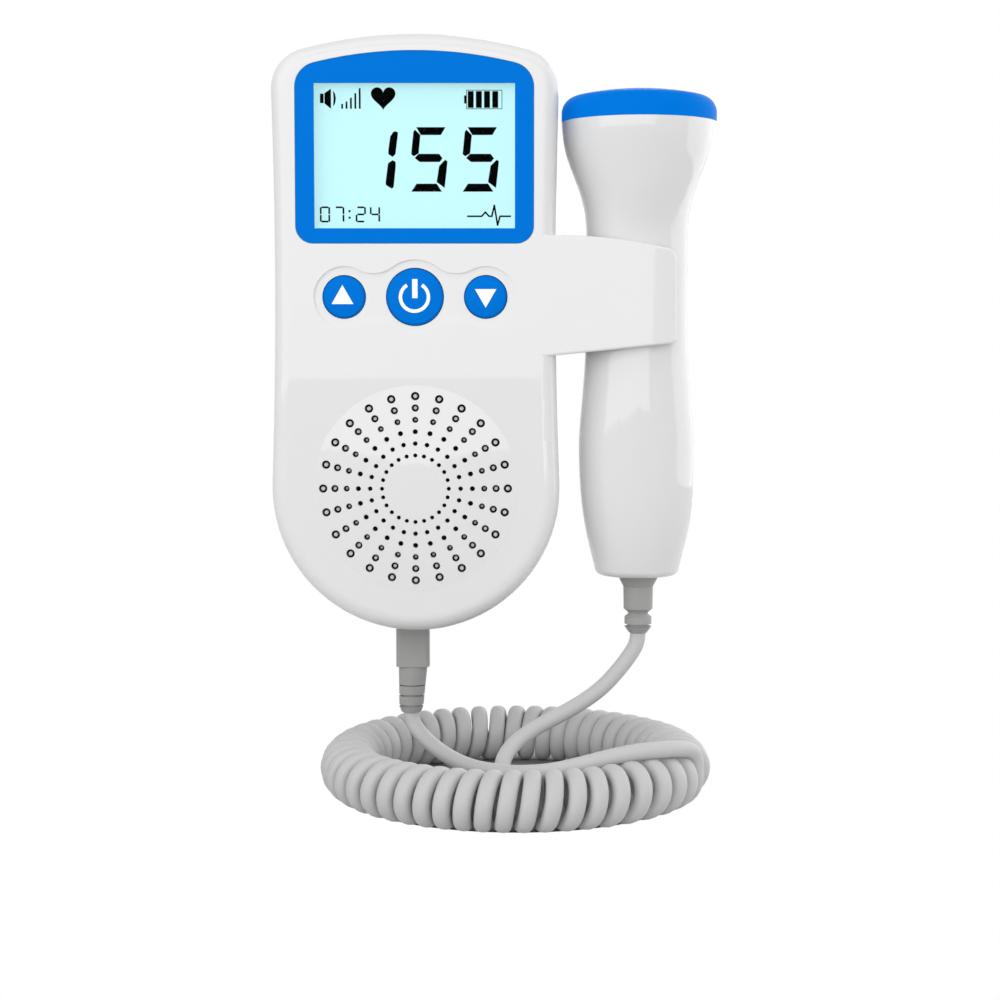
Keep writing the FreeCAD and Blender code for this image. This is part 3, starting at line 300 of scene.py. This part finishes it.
NODE_MATERIALS = {
    WHITE: ("front_shell", "rear_shell", "battery_cover"),
    PROBE_WHITE: ("probe_front_shell", "probe_rear_shell"),
    BLUE: ("display_bezel", "button_up", "button_power", "button_down"),
    GLOWING_CAP_BLUE: ("probe_cap",),
    LCD: ("lcd_panel",),
    DIFFUSER: ("lcd_backlight",),
    LENS: ("display_lens",),
    BOOT: ("unit_boot", "probe_boot"),
    CLOTH: ("speaker_cloth",),
    STEEL: ("board_screws", "case_screws", "speaker_frame", "battery_contacts"),
    BOARD: ("main_board", "probe_board"),
    BLACK: ("board_chips", "tact_switches", "headphone_jack", "transducer_backing"),
    PAPER: ("speaker_cone",),
    FERRITE: ("speaker_magnet",),
    CELL: ("battery_left", "battery_right"),
    CERAMIC: ("transducer_crystals",),
}
for mat, names in NODE_MATERIALS.items():
    for node in names:
        mesh = bpy.data.objects[node].data
        mesh.materials.clear()
        mesh.materials.append(mat)


def finish_piece(obj, mat, body):
    """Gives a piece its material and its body."""
    obj.data.materials.clear()
    obj.data.materials.append(mat)
    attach(obj, body)
    return obj


# The cord: a lead from the unit, its curly stretch in a ring, and a lead to the probe

UNIT_LEAD = (
    (-2.0, -18.0, -96.8), (-2.0, -18.0, -98.6), (-0.9, -18.8, -100.8), (1.3, -21.2, -103.0),
    (4.6, -27.0, -104.7), (8.8, -36.0, -105.5), (13.4, -46.0, -105.4), (18.8, -54.8, -104.7),
    (25.4, -60.8, -104.0), (33.0, -63.6, -102.9), (40.4, -62.6, -101.4), (46.6, -61.2, -100.0),
    (53.0, -60.0, -98.9), (59.0, -57.8, -98.8), (63.8, -54.4, -99.2), (67.2, -49.7, -100.3),
    (69.0, -46.8, -103.4), (68.8, -47.5, -107.9))
PROBE_LEAD = (
    (56.3, -20.0, -75.9), (56.3, -20.0, -78.4), (54.2, -20.8, -81.8), (51.0, -22.1, -85.7),
    (47.0, -23.8, -89.7), (41.6, -26.2, -93.2), (35.2, -29.5, -96.1), (29.0, -33.4, -98.6),
    (24.2, -38.2, -101.3), (21.4, -43.2, -104.4), (21.4, -48.0, -107.8), (24.6, -52.0, -110.8),
    (29.8, -54.6, -112.6), (35.6, -55.2, -113.2), (41.2, -53.4, -113.2), (46.2, -50.0, -113.2),
    (50.5, -45.6, -113.2), (54.6, -41.2, -113.2), (58.8, -38.0, -113.2), (62.7, -35.9, -113.2),
    (66.3, -34.9, -113.2))
LEAD_RESOLUTION = 10
RING_CENTRE = Vector((24.75, -31.0, -107.9))
RING_RADIUS = 41.75
HELIX_RADIUS = 5.3
CORD_RADIUS = 2.0
CURL_HALF_WIDTH = 2.1
CURL_SQUARENESS = 0.17
STEPS_PER_TURN = 30
# Where the wire is outermost on each turn, in degrees round the ring: 0 at the front, and more to
# the right
TURN_ANGLES = (
    69.4, 63.6, 56.0, 47.8, 39.3, 31.1, 23.9, 17.2, 10.3, 3.5, -2.9, -9.2, -15.4, -21.6, -27.9,
    -34.4, -40.9, -47.9, -55.4, -63.0, -70.5, -78.0, -85.4, -92.8, -100.2, -107.6, -115.1, -122.8,
    -130.7, -138.8, -146.9, -154.4, -161.3, -168.6, -175.8, -182.6, -189.3, -195.8, -202.2, -208.3,
    -214.5, -221.1, -228.1, -235.1, -241.8, -248.3, -254.8, -261.3, -267.8, -274.4, -281.0)
# The axis of the curls: a spline along the ring, from before the first turn to past the last
AXIS_START = 76.0
AXIS_END = -276.0
AXIS_STEP = 7.0
AXIS_RESOLUTION = 6


def turn_angle(turn):
    """The place on the ring, in degrees from the front, after this many turns."""
    before = math.floor(turn)
    here, following = TURN_ANGLES[before], TURN_ANGLES[before + 1]
    return here + (following - here) * (turn - before)


def ring_point(degrees):
    angle = math.radians(degrees - 90)
    return RING_CENTRE + RING_RADIUS * Vector((math.cos(angle), math.sin(angle), 0))


axis_steps = math.ceil((AXIS_START - AXIS_END) / AXIS_STEP) + 2
axis = spline_points([ring_point(AXIS_START - AXIS_STEP * i) for i in range(axis_steps)],
                     AXIS_RESOLUTION)
ring_middle = RING_CENTRE * MM


def front_angles(points):
    """The angles of points round the ring, in degrees from the front, falling all the way."""
    found = []
    for point in points:
        arm = point - ring_middle
        angle = math.degrees(math.atan2(arm.x, -arm.y))
        while found and angle > found[-1]:
            angle -= 360
        found.append(angle)
    return found


axis_angles = front_angles(axis)


def along_axis(degrees):
    """The curl's axis at an angle round the ring."""
    after = next(i for i, angle in enumerate(axis_angles) if i and angle <= degrees)
    before = after - 1
    share = (axis_angles[before] - degrees) / (axis_angles[before] - axis_angles[after])
    return axis[before].lerp(axis[after], share)


# The wire is outermost at each whole turn, so its own angle runs a quarter of a turn ahead of it
quarter = 0.25
helix, outwards = [], []
last_step = round(STEPS_PER_TURN * (len(TURN_ANGLES) - 2 + quarter))
for step in range(1, last_step + 1):
    turn = step / STEPS_PER_TURN
    centre = along_axis(turn_angle(turn))
    outward = (centre - ring_middle).normalized()
    lean = FULL_TURN * (turn + quarter)
    away = UP * math.cos(lean) + outward * math.sin(lean)
    helix.append(centre + away * HELIX_RADIUS * MM)
    outwards.append(away)

unit_lead = spline_points(UNIT_LEAD, LEAD_RESOLUTION)
curl_path = unit_lead + helix
curl_guides = [None] * len(unit_lead) + outwards


def curl_section(i):
    """Round in the lead, a flattened oval in the turns, round again at the far end."""
    since_lead = (i - len(unit_lead)) / STEPS_PER_TURN
    to_end = (len(curl_path) - 1 - i) / STEPS_PER_TURN
    share = min(max(since_lead, 0), to_end, 1)
    half_width = CORD_RADIUS + (CURL_HALF_WIDTH - CORD_RADIUS) * share
    return CORD_RADIUS * MM, half_width * MM, 1 - CURL_SQUARENESS * share


def round_section(i):
    return CORD_RADIUS * MM, CORD_RADIUS * MM, 1


curl = tube("curly_cord", curl_path, curl_section, curl_guides)
finish_piece(curl, CORD, "unit")
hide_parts("cord_unit_lead", "cord_coil")

probe_path = spline_points(PROBE_LEAD, LEAD_RESOLUTION)
probe_path.reverse()
probe_lead = tube("probe_lead", probe_path, round_section)
probe_lead.data.materials.append(CORD)
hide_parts("cord_probe_lead")
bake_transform(probe_lead)


# Speaker grille: a crowned disc with a flat middle and rings of round holes, a little countersunk

GRILLE_CENTRE = Vector((0, 0, -37.8))
GRILLE_RADIUS = 25.49
GRILLE_FRONT = -36.0
GRILLE_CROWN = 0.97
FLAT_EDGE = 6.35
INNER_SLOPE = 0.035
GRILLE_BACK = -34.7
GRILLE_SIDES = 144
# Radii at which the front's slope is drawn, apart from its edges
FLAT_MIDDLE = 3.5
SLOPE_START = 7.5
SLOPE_STEP = 1.5
SLOPE_COUNT = 12
# For each ring of holes its radius and the radius of its holes
HOLE_RINGS = ((8.25, 0.5), (11.17, 0.56), (14.09, 0.62), (17.01, 0.74), (19.93, 0.9),
              (22.85, 1.04))
SPOKES = 24
HOLE_SIDES = 20
# The cutter's cone: how much wider it is at its wide end, and where it lies at the disc's front
SINK_WIDER = 0.5
SINK_AHEAD = 0.38
SINK_DEPTH = 0.12
CUTTER_PAST_BACK = 0.3


def lathe_y(name, profile, sides):
    """A closed form turned about the grille's axis, from (radius, y) pairs; radius 0 is a pole."""
    verts, faces, rows = [], [], []
    for radius, y in profile:
        if radius == 0:
            rows.append([len(verts)] * sides)
            verts.append(mm(GRILLE_CENTRE + Vector((0, y, 0))))
            continue
        rows.append(range(len(verts), len(verts) + sides))
        verts += [mm(GRILLE_CENTRE + Vector((radius * sine, y, radius * cosine)))
                  for sine, cosine in circle(sides)]
    for row, following in zip(rows, rows[1:]):
        for k in range(sides):
            n = (k + 1) % sides
            faces.append(tuple(dict.fromkeys((row[k], row[n], following[n], following[k]))))
    return mesh_object(name, verts, faces)


def crown_y(radius):
    """The disc's front: flat in the middle, then a slope that steepens towards the edge."""
    reach, span = max(0, radius - FLAT_EDGE), GRILLE_RADIUS - FLAT_EDGE
    fall = INNER_SLOPE * reach + (GRILLE_CROWN - INNER_SLOPE * span) * (reach / span) ** 2
    return GRILLE_FRONT - GRILLE_CROWN + fall


def spoke_feet(ring_radius):
    """The middle of each hole in a ring, at y = 0."""
    return [GRILLE_CENTRE + Vector((ring_radius * sine, 0, ring_radius * cosine))
            for sine, cosine in circle(SPOKES)]


def grille():
    rings = [0, FLAT_MIDDLE, FLAT_EDGE]
    rings += [SLOPE_START + SLOPE_STEP * i for i in range(SLOPE_COUNT)] + [GRILLE_RADIUS]
    profile = [(r, crown_y(r)) for r in rings] + [(GRILLE_RADIUS, GRILLE_BACK), (0, GRILLE_BACK)]
    disc = lathe_y("grille_disc", profile, GRILLE_SIDES)
    cutter = bmesh.new()
    for ring_radius, hole in HOLE_RINGS:
        front = crown_y(ring_radius)
        stages = ((hole + SINK_WIDER, front - SINK_AHEAD), (hole, front + SINK_DEPTH),
                  (hole, GRILLE_BACK + CUTTER_PAST_BACK))
        for foot in spoke_feet(ring_radius):
            add_peg(cutter, foot, stages, HOLE_SIDES)
    holes = bmesh_object("grille_holes", cutter)
    cut = disc.modifiers.new("holes", "BOOLEAN")
    cut.operation = "DIFFERENCE"
    cut.solver = "EXACT"
    cut.object = holes
    apply_modifiers(disc)
    bpy.data.objects.remove(holes)
    disc.data.polygons.foreach_set("use_smooth", [False] * len(disc.data.polygons))
    return disc


finish_piece(grille(), WHITE, "unit")
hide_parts("speaker_grille")


# Pale studs that stand on the cloth, one in the middle of each of the larger holes

# For each ring of studs its radius, the radius of the studs and the y of their fronts
STUD_RINGS = ((17.01, 0.34, -34.9), (19.93, 0.42, -35.5), (22.85, 0.5, -35.9))
STUD_SIDES = 12
STUD_BEVEL = 0.12
STUD_TIP_SHARE = 0.7
CLOTH_FRONT = -33.5


def studs():
    shapes = bmesh.new()
    for ring_radius, radius, front in STUD_RINGS:
        stages = ((radius, CLOTH_FRONT), (radius, front + STUD_BEVEL),
                  (radius * STUD_TIP_SHARE, front))
        for foot in spoke_feet(ring_radius):
            add_peg(shapes, foot, stages, STUD_SIDES)
    return bmesh_object("grille_studs", shapes)


finish_piece(studs(), PIN, "unit")


# Display: plain numbers and signs on the panel's face, each outline in (x, z) pairs

PANEL_FACE = -33.5
INK_HEIGHT = 0.03


def flat_shapes(name, outlines, y, height, mat, body):
    """Flat raised shapes in one piece, each from its outline seen from the front."""
    shapes = bmesh.new()
    for outline in outlines:
        front = [shapes.verts.new(mm((x, y - height, z))) for x, z in outline]
        back = [shapes.verts.new(mm((x, y, z))) for x, z in outline]
        shapes.faces.new(front)
        shapes.faces.new(list(reversed(back)))
        for k in range(len(outline)):
            n = (k + 1) % len(outline)
            shapes.faces.new((front[k], back[k], back[n], front[n]))
    return finish_piece(bmesh_object(name, shapes), mat, body)


def display_shapes(name, outlines):
    return flat_shapes(name, outlines, PANEL_FACE, INK_HEIGHT, INK, "unit")


# The large number: a slanted 1, and the five lit segments of a 5, which stands there twice
ONE = (((-4.64, 49.9), (-4.11, 49.54), (-4.32, 47.76), (-4.75, 44.36), (-5.45, 43.63),
        (-6.51, 44.32), (-6.5, 45.33), (-6.04, 48.57), (-5.26, 49.74)),
       ((-5.45, 42.86), (-4.71, 42.42), (-4.72, 41.28), (-5.23, 36.29), (-5.72, 35.93),
        (-7.15, 36.82), (-7.19, 37.63), (-6.6, 42.09)))
FIVE = (((0.35, 50.87), (7.54, 50.87), (6.39, 48.97), (1.48, 48.97)),
        ((0.06, 50.26), (1.36, 48.97), (0.94, 44.52), (-0.25, 43.79), (-0.9, 44.32),
         (-0.35, 49.78)),
        ((-0.05, 43.39), (0.94, 44.4), (5.97, 44.4), (6.79, 43.31), (6.09, 42.42), (1.18, 42.42)),
        ((6.87, 42.38), (7.48, 42.98), (8.01, 42.58), (7.8, 40.47), (7.3, 36.09), (5.34, 37.55),
         (5.96, 41.48)),
        ((-0.89, 35.2), (0.42, 37.14), (5.34, 37.14), (6.64, 35.2)))
DIGIT_SHIFT = 12.62


def shifted(outline, dx):
    return [(x + dx, z) for x, z in outline]


digits = list(ONE)
for dx in (0, DIGIT_SHIFT):
    digits += [shifted(segment, dx) for segment in FIVE]
display_shapes("display_digits", digits)


def rectangle(x0, x1, z0, z1):
    return [(x0, z0), (x1, z0), (x1, z1), (x0, z1)]


HEART_POINTS = 40


def heart(x, z, width, height):
    """The well-known curve of sines and cosines in the shape of a heart, 32 wide and 29 high."""
    outline = []
    for k in range(HEART_POINTS):
        turn = FULL_TURN * k / HEART_POINTS
        across = 16 * math.sin(turn) ** 3
        rise = (13 * math.cos(turn) - 5 * math.cos(2 * turn) - 2 * math.cos(3 * turn)
                - math.cos(4 * turn))
        outline.append((x + across / 32 * width, z + (rise + 2.5) / 29 * height))
    return outline


# The signs in the top row: x0, x1, z0 and z1 of each bar or line
HEART_PLACE = (-7.72, 57.75)
HEART_SIZE = (6.05, 5.6)
CHARGE_BARS = [(x, x + 1.45, 55.55, 59.6) for x in (13.0, 15.0, 17.0, 19.0)]
BATTERY_OUTLINE = (
    (12.1, 12.7, 56.6, 58.55), (12.7, 21.4, 59.75, 59.9), (12.7, 21.4, 55.25, 55.4),
    (12.62, 12.77, 55.25, 59.9), (21.3, 21.45, 55.25, 59.9))
SIGNAL_LEFT = -18.0
SIGNAL_PITCH = 1.08
SIGNAL_WIDTH = 0.45
SIGNAL_FOOT = 55.35
SIGNAL_TOPS = (56.5, 57.1, 58.0, 59.1, 60.3)
LOUDSPEAKER = (
    [(-23.2, 56.7), (-22.3, 56.7), (-22.3, 59.0), (-23.2, 59.0)],
    [(-22.1, 56.6), (-20.5, 55.3), (-20.5, 60.2), (-22.1, 59.1)],
    [(-20.0, 55.9), (-19.5, 56.6), (-19.3, 57.8), (-19.5, 59.0), (-20.0, 59.7), (-19.85, 57.8)])

signs = [heart(*HEART_PLACE, *HEART_SIZE)]
signs += [rectangle(*bar) for bar in CHARGE_BARS]
signs += [rectangle(*line) for line in BATTERY_OUTLINE]
for k, top in enumerate(SIGNAL_TOPS):
    left = SIGNAL_LEFT + k * SIGNAL_PITCH
    signs.append(rectangle(left, left + SIGNAL_WIDTH, SIGNAL_FOOT, top))
signs += LOUDSPEAKER
display_shapes("display_signs", signs)


# Small marks in the bottom row: a plain clock reading at the left, a pulse line at the right

LIT_SEGMENTS = {"0": "abcdef", "2": "abged", "4": "fgbc", "7": "abc"}
CLOCK_DIGITS = (("0", -23.4), ("7", -19.9), ("2", -14.6), ("4", -11.1))
CLOCK_FOOT = 27.7
CLOCK_WIDTH = 2.5
CLOCK_HEIGHT = 3.9
CLOCK_LINE = 0.42
COLON = ((-16.35, -15.85, 28.6, 29.1), (-16.35, -15.85, 30.2, 30.7))
PULSE = ((12.9, 29.2), (16.4, 29.2), (17.3, 30.2), (18.2, 29.2), (18.9, 29.2), (19.5, 31.9),
         (20.3, 27.0), (20.9, 29.2), (23.5, 29.2))
PULSE_HALF_WIDTH = 0.2
PULSE_LAP = 0.1


def clock_digit(text, x):
    """The lit segments of a digit whose lower left corner is at x."""
    z, width, height, line = CLOCK_FOOT, CLOCK_WIDTH, CLOCK_HEIGHT, CLOCK_LINE
    middle = z + height / 2
    spans = {
        "a": rectangle(x + line, x + width - line, z + height - line, z + height),
        "b": rectangle(x + width - line, x + width, middle + line / 4, z + height - line / 2),
        "c": rectangle(x + width - line, x + width, z + line / 2, middle - line / 4),
        "d": rectangle(x + line, x + width - line, z, z + line),
        "e": rectangle(x, x + line, z + line / 2, middle - line / 4),
        "f": rectangle(x, x + line, middle + line / 4, z + height - line / 2),
        "g": rectangle(x + line, x + width - line, middle - line / 2, middle + line / 2),
    }
    return [spans[key] for key in LIT_SEGMENTS[text]]


def pulse_stroke(start, end):
    """One straight stroke of the pulse line, which laps over its neighbours a little."""
    run = Vector((end[0] - start[0], end[1] - start[1])).normalized()
    side = Vector((-run.y, run.x)) * PULSE_HALF_WIDTH
    ahead = run * PULSE_LAP
    return [(start[0] - ahead.x - side.x, start[1] - ahead.y - side.y),
            (end[0] + ahead.x - side.x, end[1] + ahead.y - side.y),
            (end[0] + ahead.x + side.x, end[1] + ahead.y + side.y),
            (start[0] - ahead.x + side.x, start[1] - ahead.y + side.y)]


small_marks = []
for text, x in CLOCK_DIGITS:
    small_marks += clock_digit(text, x)
small_marks += [rectangle(*dot) for dot in COLON]
small_marks += [pulse_stroke(start, end) for start, end in zip(PULSE, PULSE[1:])]
display_shapes("display_small_marks", small_marks)


# Signs on the keys

KEY_BACK = -36.0
SIGN_HEIGHT = 0.24
# The power sign: a ring with a gap at the top, from one end to the other in degrees, and a bar
POWER_RING_MIDDLE = (-0.1, 9.35)
POWER_RING_RADIUS = 3.44
POWER_RING_WIDTH = 0.84
POWER_RING_ENDS = (122, 418)
POWER_RING_STEPS = 48
POWER_BAR = (-0.66, 0.66, 9.1, 13.75)
UP_TRIANGLE = [(-20.45, 7.65), (-15.1, 7.65), (-17.78, 12.3)]
DOWN_TRIANGLE = [(14.75, 11.3), (20.0, 11.3), (17.38, 6.75)]


def arc_band(middle, radius, width, ends, steps):
    """A flat ring or part of one, as a four-sided shape for each step."""
    x, z = middle
    start, end = ends
    far, near = radius + width / 2, radius - width / 2
    outer, inner = [], []
    for k in range(steps + 1):
        turn = math.radians(start + (end - start) * k / steps)
        outer.append((x + far * math.cos(turn), z + far * math.sin(turn)))
        inner.append((x + near * math.cos(turn), z + near * math.sin(turn)))
    return [[outer[k], outer[k + 1], inner[k + 1], inner[k]] for k in range(steps)]


def key_sign(name, outlines, body):
    return flat_shapes(name, outlines, KEY_BACK, SIGN_HEIGHT, GLOWING_PRINT, body)


power_ring = arc_band(POWER_RING_MIDDLE, POWER_RING_RADIUS, POWER_RING_WIDTH, POWER_RING_ENDS,
                      POWER_RING_STEPS)
key_sign("power_sign", power_ring + [rectangle(*POWER_BAR)], "power_key")
key_sign("up_sign", [UP_TRIANGLE], "up_key")
key_sign("down_sign", [DOWN_TRIANGLE], "down_key")


# Floor, world and lamps

FLOOR_Z = -115.25
FLOOR_HALF_SIZE = (900, 700)
FLOOR_ROUGHNESS = 0.9
# Inside the ring the floor is painted darker: painted shade under the coil, on top of the shadow
# the lamps cast there.
PAINTED_SHADE_IN_RING = (0.27, 0.27, 0.27, 1)
PAINT_OUTSIDE = (0.62, 0.62, 0.62, 1)
# The shade that stays in view round and behind the ring: the floor's lamp-lit shade, shown only
# inside a painted oval which fades to white at its edge
SHADE_BEHIND = 24.4
SHADE_WIDER = 5
SHADE_DEEPER = 22.4
SHADE_FADE_START = 0.5
WORLD_LIGHT = 0.3
WORLD_SEEN = 1.0
PLAIN_WHITE = (1, 1, 1, 1)


def math_node(tree, operation, first, second):
    """The result of a Math node; each input is a number or another node's output."""
    node = tree.nodes.new("ShaderNodeMath")
    node.operation = operation
    for socket, value in zip(node.inputs, (first, second)):
        if isinstance(value, bpy.types.NodeSocket):
            tree.links.new(value, socket)
        else:
            socket.default_value = value
    return node.outputs[0]


def seen_rays(tree):
    """1 for what the camera sees, also in or through a surface, and 0 for light on the object."""
    path = tree.nodes.new("ShaderNodeLightPath")
    mirrored_or_clear = math_node(tree, "MAXIMUM", path.outputs["Is Glossy Ray"],
                                  path.outputs["Is Transmission Ray"])
    return math_node(tree, "MAXIMUM", path.outputs["Is Camera Ray"], mirrored_or_clear)


def white_floor():
    """A floor that is seen as plain white, apart from inside and behind the ring, where its
    lamp-lit shade shows: painted darker inside the ring and cut to a painted oval that fades to
    white.
    """
    half_x, half_y = FLOOR_HALF_SIZE
    corners = ((-half_x, -half_y), (half_x, -half_y), (half_x, half_y), (-half_x, half_y))
    floor = mesh_object("floor", [mm((x, y, FLOOR_Z)) for x, y in corners], [(0, 1, 2, 3)],
                        smooth=False)
    mat = bpy.data.materials.new("floor")
    mat.use_nodes = True
    tree = mat.node_tree
    nodes, links = tree.nodes, tree.links
    shader = nodes["Principled BSDF"]
    shader.inputs["Roughness"].default_value = FLOOR_ROUGHNESS
    place = nodes.new("ShaderNodeNewGeometry")
    reach = nodes.new("ShaderNodeVectorMath")
    reach.operation = "DISTANCE"
    reach.inputs[1].default_value = mm((RING_CENTRE.x, RING_CENTRE.y, FLOOR_Z))
    links.new(place.outputs["Position"], reach.inputs[0])
    outside = math_node(tree, "GREATER_THAN", reach.outputs["Value"], RING_RADIUS * MM)
    # Painted shade: inside the ring the floor takes the darker paint.
    paint_and_ring_shade = nodes.new("ShaderNodeMixRGB")
    paint_and_ring_shade.inputs["Color1"].default_value = PAINTED_SHADE_IN_RING
    paint_and_ring_shade.inputs["Color2"].default_value = PAINT_OUTSIDE
    links.new(outside, paint_and_ring_shade.inputs["Fac"])
    links.new(paint_and_ring_shade.outputs["Color"], shader.inputs["Base Color"])
    # Painted edge of the shade: past the oval the floor shows white, whatever light falls there.
    oval = nodes.new("ShaderNodeMapping")
    oval.vector_type = "TEXTURE"
    oval.inputs["Location"].default_value = mm(
        (RING_CENTRE.x, RING_CENTRE.y + SHADE_BEHIND, FLOOR_Z))
    oval.inputs["Scale"].default_value = mm(
        (RING_RADIUS + SHADE_WIDER, RING_RADIUS + SHADE_DEEPER, 1))
    links.new(place.outputs["Position"], oval.inputs["Vector"])
    away = nodes.new("ShaderNodeVectorMath")
    away.operation = "LENGTH"
    links.new(oval.outputs[0], away.inputs[0])
    fade = nodes.new("ShaderNodeMapRange")
    fade.interpolation_type = "SMOOTHSTEP"
    fade.inputs["From Min"].default_value = SHADE_FADE_START
    fade.inputs["From Max"].default_value = 1
    links.new(away.outputs["Value"], fade.inputs["Value"])
    white = math_node(tree, "MULTIPLY", outside, fade.outputs[0])
    glow = nodes.new("ShaderNodeEmission")
    mix = nodes.new("ShaderNodeMixShader")
    links.new(math_node(tree, "MULTIPLY", seen_rays(tree), white), mix.inputs["Fac"])
    links.new(shader.outputs[0], mix.inputs[1])
    links.new(glow.outputs[0], mix.inputs[2])
    links.new(mix.outputs[0], nodes["Material Output"].inputs["Surface"])
    floor.data.materials.append(mat)


def white_world():
    """An even soft light, which is seen as plain white."""
    world = bpy.data.worlds.new("world")
    bpy.context.scene.world = world
    world.use_nodes = True
    tree = world.node_tree
    sky = tree.nodes["Background"]
    sky.inputs["Color"].default_value = PLAIN_WHITE
    sky.inputs["Strength"].default_value = WORLD_LIGHT
    plain = tree.nodes.new("ShaderNodeBackground")
    plain.inputs["Color"].default_value = PLAIN_WHITE
    plain.inputs["Strength"].default_value = WORLD_SEEN
    choice = tree.nodes.new("ShaderNodeMixShader")
    tree.links.new(seen_rays(tree), choice.inputs["Fac"])
    tree.links.new(sky.outputs[0], choice.inputs[1])
    tree.links.new(plain.outputs[0], choice.inputs[2])
    tree.links.new(choice.outputs[0], tree.nodes["World Output"].inputs["Surface"])


def lamp(name, position, target, size, power):
    """A rectangular area lamp; its place is in mm, its size in metres and its power in watts."""
    data = bpy.data.lights.new(name, "AREA")
    data.shape = "RECTANGLE"
    data.size, data.size_y = size
    data.energy = power
    obj = link(name, data)
    obj.location = mm(position)
    obj.rotation_euler = (mm(target) - obj.location).to_track_quat("-Z", "Y").to_euler()


white_floor()
white_world()
# The glossy front mirrors the softbox, whose lower edge makes the tonal edge above the grille
lamp("softbox", (-340, -920, 328), (0, -30, 0), (2.0, 0.76), 8.7)
lamp("top", (0, -260, 560), (0, -40, 0), (1.2, 0.3), 1.0)
lamp("side", (620, 120, 60), (56, -20, -10), (0.7, 0.9), 3.2)
lamp("back", (300, 640, 60), (56, -20, 0), (0.6, 0.9), 1.8)
